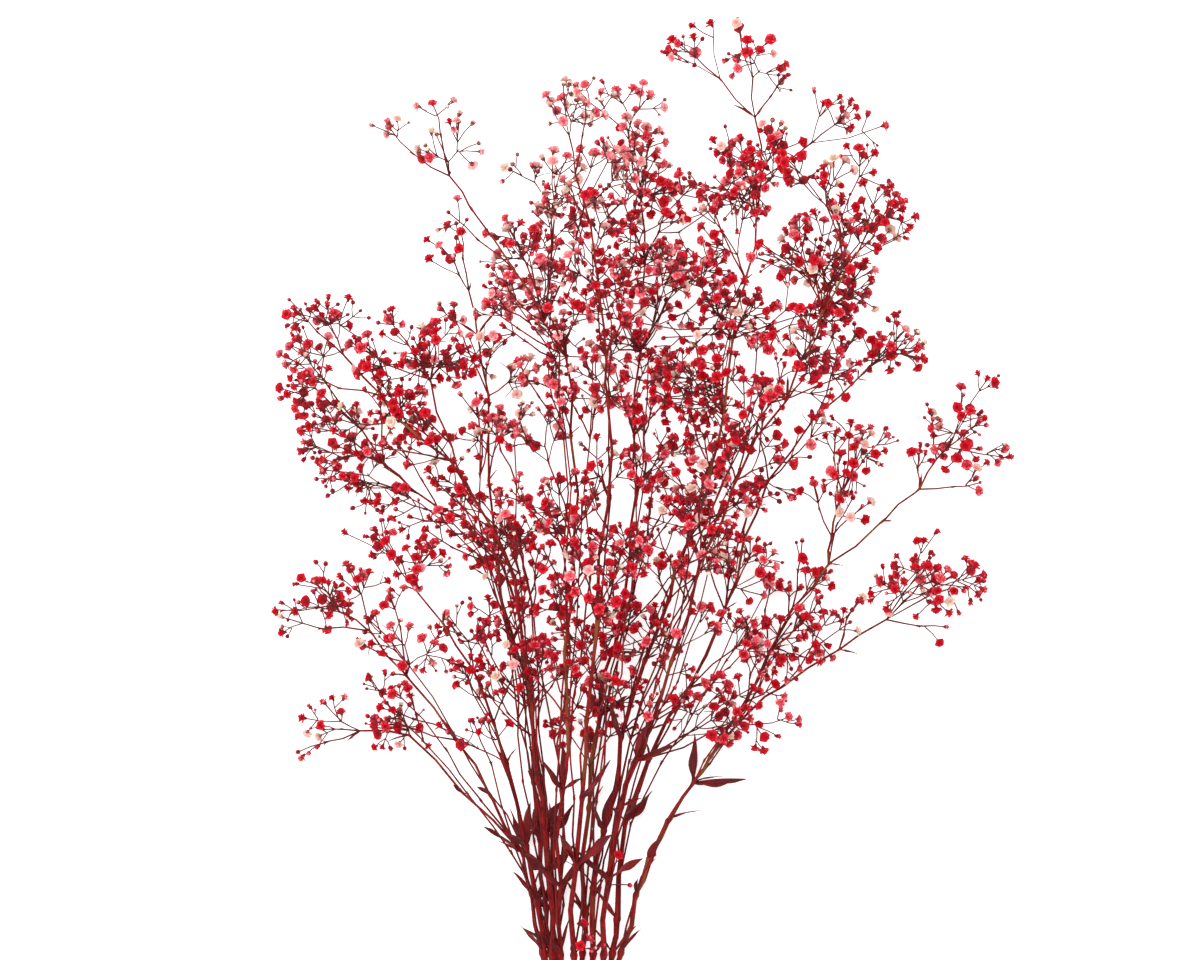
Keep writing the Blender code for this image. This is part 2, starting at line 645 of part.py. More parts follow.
def stand_stems(room):
    """The spine, limbs and nodes of every stem, which fill the room first."""
    plans = {}
    for owner, name in enumerate(SPINES):
        path = stem_path(name)
        below = len(path) - len(SPINES[name])
        radii = [STEM_RADIUS] * below + tapered(len(SPINES[name]), STEM_RADIUS, STEM_TIP_RADIUS)
        limbs = [(limb, tapered(len(limb), LIMB_RADIUS, STEM_TIP_RADIUS)) for limb in limb_paths(name)]
        nodes = nodes_of(path, radii)[below - 1:]
        for limb, widths in limbs:
            nodes += nodes_of(limb, widths)
        for line, widths in [(path, radii), *limbs]:
            room.take_path(owner, line, widths)
        plans[name] = Plan(owner, path, radii, limbs, nodes, [], [])
    return plans


def plan_bunch():
    """Where every stem, leaf and twig goes. All the leaves grow before the sprays."""
    room = Room()
    plans = stand_stems(room)
    for name, plan in plans.items():
        draw = random.Random(f"{SEED} leaves {name}")
        for at, length in LEAF_PAIRS[name]:
            for turn in (at, at + math.pi):
                leaf = grow_leaf(room, plan.owner, plan.nodes[at], length, turn, draw)
                plan.leaves.extend([leaf] if leaf else [])
    for name, plan in plans.items():
        for number, spray in enumerate(SPRAYS[name]):
            draw = random.Random(f"{SEED} spray {name} {number}")
            plan.twigs.extend(grow_spray(room, plan.owner, plan.nodes, spray, draw))
    return plans


def make_stem(name, plan, material):
    """One stem with its limbs, leaves and twigs, joined in one solid."""
    below = len(plan.path) - len(SPINES[name])
    swollen = {at + below for at, _ in LEAF_PAIRS[name]}
    solids = [loft(name + "_spine", stem_rings(plan.path, plan.radii, swollen))]
    for limb, radii in plan.limbs:
        rings = tube_rings(limb, radii, Matrix.Identity(3), STEM_SIDES)
        solids.append(loft(name + "_limb", rings))
    for leaf in plan.leaves:
        solids.append(leaf_solid(name + "_leaf", leaf))
    for twig in plan.twigs:
        solids.append(twig_solid(name + "_twig", twig))
    return fused(name, solids, material)


def band_outline():
    """The band's cut face, as distances along it and out from its middle, with a groove between its turns."""
    outer = BAND_HOLE + BAND_THICKNESS
    half = BAND_TURNS * BAND_TURN_WIDTH / 2
    outline = [(-half, BAND_HOLE), (-half, outer)]
    for n in range(1, BAND_TURNS):
        between = n * BAND_TURN_WIDTH - half
        outline.append((between - BAND_GROOVE, outer))
        outline.append((between, outer - BAND_GROOVE))
        outline.append((between + BAND_GROOVE, outer))
    return outline + [(half, outer), (half, BAND_HOLE)]


def make_band(material):
    """An elastic band wound round the stems, flat where it rests."""
    bm = bmesh.new()
    verts = [bm.verts.new((radius * MM, y * MM, 0)) for y, radius in band_outline()]
    edges = [bm.edges.new(pair) for pair in zip(verts, verts[1:] + verts[:1])]
    bmesh.ops.spin(
        bm, geom=verts + edges, cent=(0, 0, 0), axis=(0, 1, 0), angle=2 * math.pi,
        steps=BAND_STEPS, use_merge=True, use_duplicate=False,
    )
    bmesh.ops.remove_doubles(bm, verts=bm.verts, dist=WELD * MM)
    bmesh.ops.recalc_face_normals(bm, faces=bm.faces)
    for vertex in bm.verts:
        vertex.co.z = max(vertex.co.z + BAND_AXIS_Z * MM, 0)
    mesh = bpy.data.meshes.new("binding_band")
    bm.to_mesh(mesh)
    bm.free()
    return finished("binding_band", mesh, material)


def main():
    for obj in list(bpy.data.objects):
        bpy.data.objects.remove(obj)
    dyed = principled("dyed_gypsophila", STEM_COLOUR, STEM_ROUGHNESS)
    for name, plan in plan_bunch().items():
        make_stem(name, plan, dyed)
    make_band(principled("elastic_band", BAND_COLOUR, BAND_ROUGHNESS))


main()
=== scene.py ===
"""Dresses a bunch of dyed, dried gypsophila: stems, leaves, double blooms, the band, and a pale studio stage.

Sizes and places in the growth part are in millimetres, and each finished mesh is in metres. The bunch lies
along +Y with its cut ends towards -Y, and the origin is on the surface, under the band's middle.
"""

import json
import math
import random
from collections import namedtuple
from functools import lru_cache

import bmesh
import bpy
import numpy as np
from bpy.props import FloatProperty, FloatVectorProperty, IntProperty, PointerProperty
from bpy.types import Operator, Panel, PropertyGroup
from mathutils import Matrix, Vector

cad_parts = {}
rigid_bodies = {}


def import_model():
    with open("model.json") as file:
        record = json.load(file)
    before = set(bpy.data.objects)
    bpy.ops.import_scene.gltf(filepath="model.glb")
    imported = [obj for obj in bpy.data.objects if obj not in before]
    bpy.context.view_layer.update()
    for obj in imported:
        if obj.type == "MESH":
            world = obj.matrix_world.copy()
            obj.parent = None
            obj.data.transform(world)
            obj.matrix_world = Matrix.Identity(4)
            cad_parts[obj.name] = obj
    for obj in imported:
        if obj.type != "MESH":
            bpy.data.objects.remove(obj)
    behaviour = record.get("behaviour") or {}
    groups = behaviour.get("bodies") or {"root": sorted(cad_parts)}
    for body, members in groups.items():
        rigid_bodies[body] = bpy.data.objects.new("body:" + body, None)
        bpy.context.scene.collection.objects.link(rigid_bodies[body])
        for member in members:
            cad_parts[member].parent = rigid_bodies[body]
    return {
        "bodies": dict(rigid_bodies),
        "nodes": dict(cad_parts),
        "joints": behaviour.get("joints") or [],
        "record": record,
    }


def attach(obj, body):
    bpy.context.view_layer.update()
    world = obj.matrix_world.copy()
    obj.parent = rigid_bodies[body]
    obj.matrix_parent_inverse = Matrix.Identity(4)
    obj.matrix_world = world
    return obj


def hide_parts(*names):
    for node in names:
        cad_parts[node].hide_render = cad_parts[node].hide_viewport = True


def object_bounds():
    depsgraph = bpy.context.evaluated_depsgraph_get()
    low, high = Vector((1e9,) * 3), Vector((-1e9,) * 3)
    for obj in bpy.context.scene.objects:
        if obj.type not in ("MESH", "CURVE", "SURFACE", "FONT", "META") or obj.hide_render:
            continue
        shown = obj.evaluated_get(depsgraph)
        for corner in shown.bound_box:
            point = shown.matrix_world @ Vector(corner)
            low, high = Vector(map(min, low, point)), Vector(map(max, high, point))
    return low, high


bl_info = {
    "name": "Dried gypsophila bunch",
    "version": (1, 0, 0),
    "blender": (4, 5, 0),
    "location": "3D View > Sidebar > Gypsophila",
    "description": "Grows a bound bunch of dyed, dried gypsophila over its plain solids",
    "category": "Add Mesh",
}

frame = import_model()
CAD_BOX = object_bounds()

MM = 0.001

# The band, and the stems packed in its hole: three in the middle and nine round them.
STEM_RADIUS = 1.5
SLOT = 1.65
OUTER_SLOTS = 9
INNER_SLOTS = 3
OUTER_SLOT_ANGLE = 20
PACKING = {"inner": 1.1547 * SLOT, "outer": 3.15 * SLOT}
FIT = 0.3
BAND_HOLE = PACKING["outer"] + STEM_RADIUS + FIT
BAND_THICKNESS = 1.6
BAND_FLAT = 0.35
BAND_AXIS_Z = BAND_HOLE + BAND_THICKNESS - BAND_FLAT

# Below the band the stems spread a little towards their cut ends.
CUT_LENGTH = 76
CUT_STAGGER = 9
CUT_SPREAD = 1.2
GRIP = 9

# Stems and twigs, as the plain solids have them.
STEM_TIP_RADIUS = 0.75
LIMB_RADIUS = 0.95
PEDICEL = 0.4
PEDICEL_GAIN = 0.11
ROOT_SHARE = 0.7

# Where twigs fork: the slope of a fork's sides, the fork's place along the way to its blooms, and the
# turn that a side twig makes off its stem.
FORK_SLOPE = 0.62
FORK_PLACE = (0.4, 0.82)
SIDE_TURN = math.radians(42)
TURN_COST = 5.0
NEAREST_FORK = 14
NEAR_COST = 4.0

# How far twigs keep from each other and from the surface, and how they look for room.
CLEAR = 0.5
OWN_CLEAR = 0.25
FLOOR_GAP = 0.3
TRIES = 60
TRY_STEP = 0.45
MOST_RODS = 12000
TOUCHING = 0.001
TINY = 1e-12

# Blooms and buds.
BLOOM_RADIUS = 3.0
BLOOM_NOD = 0.35
BUD_RADIUS = 1.15
BUD_SHARE = 0.25
BLOOM_SIZES = (0.86, 1.1)
BLOOM_SPACING = 7.0
SPACING_RELAX = 0.995
CROWDING = 0.25
PRESSED = 0.35
RESTING_HEIGHT = 1.2

# Narrow dried leaves in pairs at the lower nodes.
LEAF_HALF_WIDTH = 2.1
LEAF_ROOM = (0.15, 0.45, 0.75, 1.0)
LEAF_STEP = 0.05
LEAF_ROOT = 0.3
LEAF_ARCH = 0.3
LEAF_LEAN = (math.radians(17), math.radians(44))
LEAF_TWIST = math.radians(100)
LEAF_TURNS = 12
LEAF_SWING = math.radians(70)

SEED = 41

Spray = namedtuple("Spray", "x y z wide tall deep blooms outermost", defaults=[()])
Node = namedtuple("Node", "point along radius")
Leaf = namedtuple("Leaf", "line side length twist width")
Twig = namedtuple("Twig", "points radii base axis size is_bud")
Head = namedtuple("Head", "place axis size kind dye")
Plan = namedtuple("Plan", "owner path radii limbs nodes leaves sprays shoots pedicels heads")
Arms = namedtuple("Arms", "chance count back reach lean radius kinds")

# Each stem's nodes above the band, from the lowest to the top.
SPINES = {
    "stem_01": [(-18, 75, 7), (-23, 103, 9), (-27, 122, 11), (-42, 149, 14), (-58, 175, 16), (-81, 205, 19),
                (-98, 226, 22), (-112, 235, 24)],
    "stem_02": [(-17, 75, 13), (-20, 99, 18), (-25, 126, 25), (-34, 165, 36), (-40, 184, 42),
                (-49, 208, 48), (-63, 230, 54), (-76, 246, 58)],
    "stem_03": [(-14, 75, 9), (-16, 96, 11), (-19, 129, 16), (-22, 158, 20), (-24, 195, 25), (-28, 232, 30),
                (-37, 259, 33), (-55, 279, 34), (-77, 291, 33), (-91, 304, 32), (-101, 319, 32)],
    "stem_04": [(-13, 75, 16), (-15, 114, 27), (-17, 138, 34), (-20, 158, 41), (-22, 190, 52),
                (-30, 252, 72), (-40, 274, 78), (-51, 293, 82), (-59, 313, 86), (-68, 342, 90)],
    "stem_05": [(-9, 75, 19), (-9, 108, 32), (-8, 153, 50), (-6, 195, 67), (-4, 241, 85), (-3, 264, 93),
                (-4, 317, 106), (-6, 352, 110), (-16, 368, 111), (-30, 392, 112), (-49, 419, 110),
                (-59, 434, 108)],
    "stem_06": [(-11, 75, 14), (-12, 98, 18), (-13, 131, 25), (-21, 177, 35), (-31, 223, 45),
                (-38, 259, 52), (-42, 296, 58), (-42, 335, 62), (-47, 363, 64), (-51, 383, 65)],
    "stem_07": [(-3, 75, 23), (-2, 118, 41), (1, 150, 55), (3, 186, 70), (8, 232, 89), (13, 287, 110),
                (13, 330, 122), (12, 352, 127), (9, 379, 131), (5, 411, 132), (-2, 434, 130)],
    "stem_08": [(1, 75, 6), (2, 94, 7), (4, 143, 12), (9, 186, 16), (17, 223, 19), (23, 259, 22),
                (26, 291, 25), (25, 317, 27), (28, 356, 30), (30, 397, 33), (28, 426, 36)],
    "stem_09": [(6, 75, 12), (6, 106, 18), (11, 133, 23), (19, 177, 34), (30, 213, 43), (41, 241, 50),
                (50, 269, 56), (60, 301, 62), (66, 326, 67), (70, 361, 72), (76, 388, 75), (81, 418, 78),
                (83, 434, 79), (80, 462, 80)],
    "stem_10": [(11, 75, 18), (13, 111, 29), (19, 145, 41), (26, 167, 49), (32, 181, 54), (42, 213, 65),
                (55, 259, 82), (71, 296, 95), (94, 333, 106), (100, 350, 109), (110, 373, 112),
                (120, 391, 113)],
    "stem_11": [(15, 75, 9), (17, 91, 11), (21, 137, 17), (32, 167, 23), (51, 200, 29), (67, 236, 36),
                (76, 269, 41), (87, 296, 45), (109, 326, 48), (128, 343, 50)],
    "stem_12": [(19, 75, 5), (26, 102, 6), (32, 119, 7), (42, 138, 8), (53, 155, 9), (61, 167, 10),
                (77, 192, 11), (89, 217, 12), (99, 236, 13), (116, 257, 14), (141, 277, 16), (158, 292, 18),
                (166, 306, 20)],
}

# Stout side branches: the spine's node that one leaves, then its own nodes.
LIMBS = {
    "stem_01": [(2, [(-55, 150, 9), (-80, 177, 9), (-103, 179, 8)])],
    "stem_04": [(5, [(-59, 305, 76), (-82, 323, 69), (-91, 335, 66), (-108, 353, 62)])],
    "stem_12": [(5, [(79, 188, 8), (95, 200, 8), (121, 217, 8), (143, 231, 9)]),
                (9, [(117, 270, 24), (119, 282, 32), (121, 292, 37)])],
}

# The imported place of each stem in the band, as an angle in the ring of outer or inner places.
PLACES = {
    "stem_10": ("outer", 0), "stem_07": ("outer", 1), "stem_05": ("outer", 2), "stem_04": ("outer", 3),
    "stem_02": ("outer", 4), "stem_01": ("outer", 5), "stem_08": ("outer", 6), "stem_12": ("outer", 7),
    "stem_11": ("outer", 8), "stem_09": ("inner", 0), "stem_06": ("inner", 1), "stem_03": ("inner", 2),
}

# Each spray is an oval cloud of blooms: its middle, its half sizes across X, Y and Z, and its blooms.
SPRAYS = {
    "stem_01": [Spray(-124, 241, 17, 15, 9, 12, 8, ((-142, 235, 13), (-124, 249, 0))),
                Spray(-106, 253, 22, 9, 10, 10, 3),
                Spray(-77, 220, 30, 13, 12, 10, 5), Spray(-121, 188, 7, 9, 7, 5, 3, ((-130, 185, 6),)),
                Spray(-85, 184, 12, 17, 9, 8, 5)],
    "stem_02": [Spray(-93, 273, 60, 12, 13, 12, 3), Spray(-73, 262, 64, 14, 13, 13, 5),
                Spray(-50, 232, 50, 13, 11, 12, 4), Spray(-57, 204, 44, 12, 13, 12, 4),
                Spray(-55, 181, 32, 12, 11, 11, 3)],
    "stem_03": [Spray(-119, 349, 36, 13, 13, 14, 5, ((-134, 360, 34),)),
                Spray(-114, 317, 30, 14, 17, 14, 6, ((-129, 321, 28),)),
                Spray(-108, 294, 30, 7, 6, 8, 2), Spray(-36, 276, 34, 13, 13, 11, 4)],
    "stem_04": [Spray(-118, 371, 60, 13, 9, 13, 5, ((-129, 379, 58),)), Spray(-86, 328, 64, 16, 14, 12, 6),
                Spray(-88, 358, 88, 17, 14, 14, 5), Spray(-74, 308, 72, 11, 11, 11, 3),
                Spray(-54, 363, 90, 15, 18, 13, 4)],
    "stem_05": [Spray(-54, 446, 108, 15, 14, 14, 5, ((-70, 448, 106),)), Spray(-9, 420, 100, 22, 13, 13, 4),
                Spray(-23, 407, 96, 18, 14, 12, 4), Spray(-9, 365, 106, 18, 18, 14, 5),
                Spray(-22, 322, 98, 16, 17, 13, 4), Spray(-18, 276, 88, 17, 15, 12, 4),
                Spray(-9, 241, 78, 12, 12, 10, 3)],
    "stem_06": [Spray(-64, 402, 66, 15, 11, 12, 4), Spray(-37, 384, 62, 14, 14, 12, 4),
                Spray(-45, 317, 60, 16, 18, 12, 5), Spray(-28, 352, 70, 13, 12, 12, 3),
                Spray(-38, 280, 56, 14, 13, 11, 3)],
    "stem_07": [Spray(-9, 461, 130, 18, 13, 15, 5, ((-7, 474, 136),)), Spray(11, 395, 126, 22, 18, 14, 6),
                Spray(9, 338, 120, 18, 15, 12, 4), Spray(9, 301, 108, 18, 17, 13, 4),
                Spray(15, 266, 96, 20, 16, 12, 5), Spray(5, 86, 30, 11, 8, 5, 2)],
    "stem_08": [Spray(23, 457, 48, 17, 14, 15, 6), Spray(28, 430, 44, 18, 14, 14, 5),
                Spray(50, 395, 40, 20, 17, 15, 5), Spray(30, 361, 36, 22, 18, 15, 5),
                Spray(38, 308, 34, 16, 15, 13, 5, ((25, 324, 0),)), Spray(14, 232, 30, 18, 12, 11, 4),
                Spray(16, 195, 24, 16, 9, 9, 3)],
    "stem_09": [Spray(51, 491, 80, 13, 12, 14, 4, ((60, 505, 79),)),
                Spray(80, 489, 88, 12, 14, 14, 5, ((72, 506, 90), (95, 481, 88))),
                Spray(122, 465, 90, 13, 8, 10, 4, ((139, 458, 88),)), Spray(76, 450, 82, 18, 9, 10, 3),
                Spray(64, 430, 78, 18, 16, 13, 5), Spray(76, 370, 78, 20, 15, 13, 5),
                Spray(50, 340, 62, 18, 15, 12, 5), Spray(46, 278, 62, 17, 17, 12, 4),
                Spray(32, 223, 50, 17, 18, 11, 4)],
    "stem_10": [Spray(115, 432, 118, 22, 11, 13, 5), Spray(135, 416, 108, 10, 15, 13, 5, ((146, 419, 104),)),
                Spray(97, 402, 106, 22, 15, 14, 6), Spray(129, 381, 98, 13, 10, 11, 4),
                Spray(78, 331, 92, 18, 20, 14, 6), Spray(106, 363, 112, 18, 18, 13, 4),
                Spray(57, 301, 92, 18, 15, 12, 4), Spray(53, 230, 74, 12, 12, 10, 3),
                Spray(19, 117, 38, 6, 13, 6, 2)],
    "stem_11": [Spray(143, 362, 52, 12, 9, 11, 4, ((157, 358, 50),)), Spray(122, 358, 60, 12, 10, 11, 4),
                Spray(104, 315, 56, 12, 12, 11, 4), Spray(76, 257, 48, 14, 18, 11, 4),
                Spray(87, 230, 34, 13, 20, 10, 4), Spray(67, 191, 30, 20, 12, 9, 4)],
    "stem_12": [Spray(178, 319, 24, 17, 20, 17, 8, ((200, 307, 20), (188, 341, 26))),
                Spray(124, 305, 42, 16, 18, 15, 7, ((142, 317, 42),)),
                Spray(160, 246, 14, 22, 14, 13, 8, ((188, 252, 14), (158, 254, 0))),
                Spray(115, 220, 16, 14, 17, 11, 5)],
}

# Leaf pairs: the spine's node that one leaves, and the leaf's length.
LEAF_PAIRS = {
    "stem_01": [(2, 21)], "stem_02": [(2, 17)], "stem_03": [(1, 15), (2, 18)], "stem_04": [(1, 16)],
    "stem_05": [(1, 17), (2, 20)], "stem_06": [(2, 15)], "stem_07": [(1, 22), (2, 18)],
    "stem_08": [(1, 16), (3, 14)], "stem_09": [(2, 20), (3, 15)], "stem_10": [(1, 18), (3, 17)],
    "stem_11": [(2, 18)], "stem_12": [(2, 17), (4, 20)],
}

# How much dye each spray took up, from 0, undyed cream, to 1, deep red.
DYES = {
    "stem_01": (1, 0.8, 0.75, 1, 1), "stem_02": (0.9, 0.85, 0.95, 1, 1), "stem_03": (0.9, 1, 1, 0.9),
    "stem_04": (1, 1, 0.95, 1, 0.8), "stem_05": (0.45, 0.42, 0.6, 0.65, 0.65, 0.85, 0.9),
    "stem_06": (0.75, 0.65, 0.7, 0.5, 0.85), "stem_07": (0.28, 0.75, 0.85, 0.8, 0.9, 0.9),
    "stem_08": (0.5, 0.8, 0.85, 0.85, 0.8, 0.9, 0.9),
    "stem_09": (0.9, 0.9, 1, 0.9, 0.8, 0.9, 0.95, 0.85, 0.85),
    "stem_10": (1, 1, 0.85, 0.85, 1, 0.9, 0.9, 0.8, 1), "stem_11": (1, 0.8, 0.9, 0.8, 0.7, 0.9),
    "stem_12": (0.9, 0.95, 1, 0.9),
}
DYE_SPREAD = 0.2
UNDYED_SHARE = 0.075

# How full each spray is. Below 1, fewer of its twigs have side arms. Above 1, more sprays grow beside it.
FULLNESS = {
    "stem_01": (1.2, 1.4, 0.6, 1, 1.4), "stem_02": (0.6, 1, 0.6, 0.2, 0.2), "stem_03": (2, 2.6, 0.4, 0.8),
    "stem_04": (1.3, 1.8, 2.6, 0.3, 0.7), "stem_05": (0.8, 3, 3, 1.6, 1.4, 1, 1.3),
    "stem_06": (0.6, 1.3, 1, 1.3, 1.2), "stem_07": (1, 4, 1.4, 2, 2.2, 0.5),
    "stem_08": (2, 2, 5.5, 2.4, 1.5, 3, 1.8), "stem_09": (1, 0.8, 1, 2, 4.5, 5, 3.6, 3, 1),
    "stem_10": (1.5, 1.5, 4.5, 1.5, 3.4, 4, 1.5, 0.4, 0.6), "stem_11": (1.6, 1, 0.3, 1.6, 0.6, 2.6),
    "stem_12": (1.3, 1.6, 2.5, 2),
}
COMPANION_BLOOMS = 5
COMPANION_SHIFT = 1.15
COMPANION_SIZE = 1.3

# The finer growth. Arms leave a twig's last stretch in pairs, each ends in a head, and they fork again.
# Chance of any, how many, how far back they fork, how long they are, how far they lean and how stout they
# are, then the shares of open blooms and of half-open ones. The rest are buds.
ARMS = (
    Arms(1.0, (2, 3), (6, 11), (7, 13), (30, 58), 0.26, (0.6, 0.2)),
    Arms(0.5, (1, 2), (3.5, 6), (5, 8), (35, 62), 0.23, (0.25, 0.25)),
)
ARM_TRIES = 9
BARE_SHARE = 0.1
HEAD_SIZES = {"open": (0.77, 1.02), "half": (0.8, 1.08), "bud": (0.62, 1.1)}
HEAD_REACH = {"open": 2.5, "half": 1.7, "bud": 1.05}
HEAD_DEPTH = {"open": 2.0, "half": 2.1, "bud": 1.1}
HEAD_GAP = 0.05
EDGE_MARGIN = 3.2
SHOOT_SHARE = 0.5
LONG_SHOOT_SHARE = 0.34
LOWEST_SHOOT = 170
SHOOT_REACH = (16, 44)
SHOOT_LEAN = (24, 48)
LONG_SHOOTS = 3
LONG_SHOOT_END = (0.5, 0.85)
LONG_SHOOT_ASIDE = (6, 24)

# How the fine wood differs from the plain solids: thinner above, swollen at nodes, a little bowed.
FINE_SHARE = 0.9
FINE_LESS = 0.17
THINNEST = 0.23
TOP_RADIUS = 0.44
TAPER = 1.8
GIRTHS = (0.66, 1.02)
SWELLING_REACH = 1.5
LEAF_NODE_REACH = 2.4
BOW = 0.06
BRACT_RADIUS = 0.36

KINDS = ("open", "half", "bud")
SHARP_ANGLE = math.radians(48)
WOOD_SHARP_ANGLE = math.radians(120)


class Room:
    """What already stands, as round-ended rods, so that a new twig bends clear of the other stems."""

    def __init__(self):
        self.starts = np.zeros((MOST_RODS, 3))
        self.runs = np.zeros((MOST_RODS, 3))
        self.radii = np.zeros(MOST_RODS)
        self.owners = np.zeros(MOST_RODS, int)
        self.count = 0

    def take(self, owner, start, end, radius):
        """Fills one rod from start to end."""
        n = self.count
        self.starts[n] = start
        self.runs[n] = end - start
        self.radii[n] = radius
        self.owners[n] = owner
        self.count += 1

    def take_path(self, owner, path, radii):
        """Fills the rods of a bent tube."""
        for start, end, radius in zip(path, path[1:], radii):
            self.take(owner, start, end, radius)

    def other_gap(self, owner, start, end, radius):
        """The least space between a new rod and every rod of the other stems."""
        return self.gap(self.owners[: self.count] != owner, start, end, radius)

    def own_gap(self, owner, start, end, radius):
        """The least space between a new rod and its own stem's rods, but for those that it grows from."""
        starts = self.starts[: self.count]
        ends = starts + self.runs[: self.count]
        root = np.array(start)
        apart = np.minimum(abs(starts - root).sum(1), abs(ends - root).sum(1)) > TOUCHING
        return self.gap((self.owners[: self.count] == owner) & apart, start, end, radius)

    def gap(self, chosen, start, end, radius):
        """The least space between a new rod and the chosen ones, from the nearest points of each pair."""
        chosen = np.flatnonzero(chosen)
        if not len(chosen):
            return math.inf
        run, starts, runs = np.array(end - start), self.starts[chosen], self.runs[chosen]
        offset = np.array(start) - starts
        long_new = max(run @ run, TINY)
        long_old = np.maximum((runs * runs).sum(1), TINY)
        cross, new_off, old_off = runs @ run, offset @ run, (runs * offset).sum(1)
        skew = np.maximum(long_new * long_old - cross * cross, TINY)
        on_new = np.clip((cross * old_off - new_off * long_old) / skew, 0, 1)
        on_old = np.clip((cross * on_new + old_off) / long_old, 0, 1)
        on_new = np.clip((cross * on_old - new_off) / long_new, 0, 1)
        between = offset + on_new[:, None] * run - on_old[:, None] * runs
        return float((np.sqrt((between * between).sum(1)) - self.radii[chosen]).min()) - radius

    def ball_gap(self, centre, radius):
        """The least space between a new ball and everything that stands."""
        starts, runs = self.starts[: self.count], self.runs[: self.count]
        offset = np.array(centre) - starts
        share = np.clip((offset * runs).sum(1) / np.maximum((runs * runs).sum(1), TINY), 0, 1)
        between = offset - share[:, None] * runs
        return float((np.sqrt((between * between).sum(1)) - self.radii[: self.count]).min()) - radius


def middle(points):
    return sum(points, Vector()) / len(points)


def twig_radius(tips):
    """A twig is stouter the more blooms it carries."""
    return PEDICEL + PEDICEL_GAIN * math.sqrt(tips)


def any_way(draw):
    """A direction drawn evenly from the ball."""
    return Vector((draw.gauss(0, 1), draw.gauss(0, 1), draw.gauss(0, 1))).normalized()


def stem_path(name):
    """The whole spine, from the cut end through the band to the top."""
    ring, number = PLACES[name]
    if ring == "outer":
        turn = math.radians(OUTER_SLOT_ANGLE + 360 * number / OUTER_SLOTS)
    else:
        turn = math.radians(360 * number / INNER_SLOTS)
    x, z = PACKING[ring] * math.cos(turn), PACKING[ring] * math.sin(turn)
    stagger = random.Random(f"{SEED} cut {name}").uniform(-CUT_STAGGER, CUT_STAGGER)
    cut = Vector((x * CUT_SPREAD, stagger - CUT_LENGTH, BAND_AXIS_Z + z * CUT_SPREAD))
    grip = [Vector((x, y, BAND_AXIS_Z + z)) for y in (-GRIP, GRIP)]
    return [cut, *grip, *map(Vector, SPINES[name])]


def limb_paths(name):
    """The stout side branches of a stem, each from the node that it leaves."""
    return [[Vector(SPINES[name][at]), *map(Vector, nodes)] for at, nodes in LIMBS.get(name, [])]


def tapered(count, first, last):
    return [first + (last - first) * n / (count - 1) for n in range(count)]


def nodes_of(path, radii):
    """The places on a stem or limb that twigs can leave."""
    found = []
    for n in range(1, len(path)):
        after = path[min(n + 1, len(path) - 1)]
        found.append(Node(path[n], (after - path[n - 1]).normalized(), radii[n]))
    return found


def turned(frame, axis):
    """The frame with its third axis turned, by the least angle, to point along axis."""
    return frame.col[2].rotation_difference(axis).to_matrix() @ frame


def frames_along(path, base):
    """At each point of a path, a frame whose third axis follows it, turned as little as can be from base."""
    frames, frame = [], base
    for n in range(len(path)):
        before, after = path[max(n - 1, 0)], path[min(n + 1, len(path) - 1)]
        frame = turned(frame, (after - before).normalized())
        frames.append(frame)
    return frames


def leaving_node(nodes, aim):
    """The node that a side twig to aim leaves: a near one, off which it turns by a small angle."""

    def cost(node):
        run = aim - node.point
        over = max(run.angle(node.along) - SIDE_TURN, 0)
        near = max(NEAREST_FORK - run.length, 0)
        return run.length * (1 + TURN_COST * over * over) + NEAR_COST * near

    return min(nodes, key=cost)


def bloom_places(spray, draw):
    """Points in the spray's oval, no two of them closer than a bloom and a gap."""
    places = [Vector(point) for point in spray.outermost]
    spacing = BLOOM_SPACING
    while len(places) < spray.blooms:
        reach = draw.random() ** CROWDING
        way = any_way(draw) * reach
        place = Vector((way.x * spray.wide, way.y * spray.tall, way.z * spray.deep))
        place += Vector((spray.x, spray.y, spray.z))
        if all((place - other).length > spacing for other in places):
            places.append(place)
        spacing *= SPACING_RELAX
    return places


def parted(tips, along):
    """The tips in two or three groups, side by side across the way that the twig grows."""
    if len(tips) <= 3:
        return [[tip] for tip in tips]
    offsets = np.array([tip - middle(tips) for tip in tips])
    offsets -= np.outer(offsets @ np.array(along), np.array(along))
    across = np.linalg.eigh(offsets.T @ offsets)[1][:, -1]
    across *= np.sign(across[abs(across).argmax()])
    order = sorted(range(len(tips)), key=lambda n: float(offsets[n] @ across))
    side = (len(tips) + 1) // 3
    cuts = (0, side, len(tips) - side, len(tips))
    return [[tips[n] for n in order[cuts[k]: cuts[k + 1]]] for k in range(3)]


def settle(room, owner, start, aim, radius, lowest, draw, end_radius=0.0):
    """The first point near aim that a twig from start reaches clear of all that stands.

    Where there is none, the twig may cross its own stem's twigs, but no other stem. None means no room.
    """
    crossing = None
    for attempt in range(TRIES):
        end = aim + any_way(draw) * (attempt * TRY_STEP)
        end.z = max(end.z, lowest)
        rods = ((start, end, radius), (end, end, max(end_radius, radius)))
        if min(room.other_gap(owner, *rod) for rod in rods) < CLEAR:
            continue
        if min(room.own_gap(owner, *rod) for rod in rods) > OWN_CLEAR:
            return end
        crossing = crossing or end
    return crossing


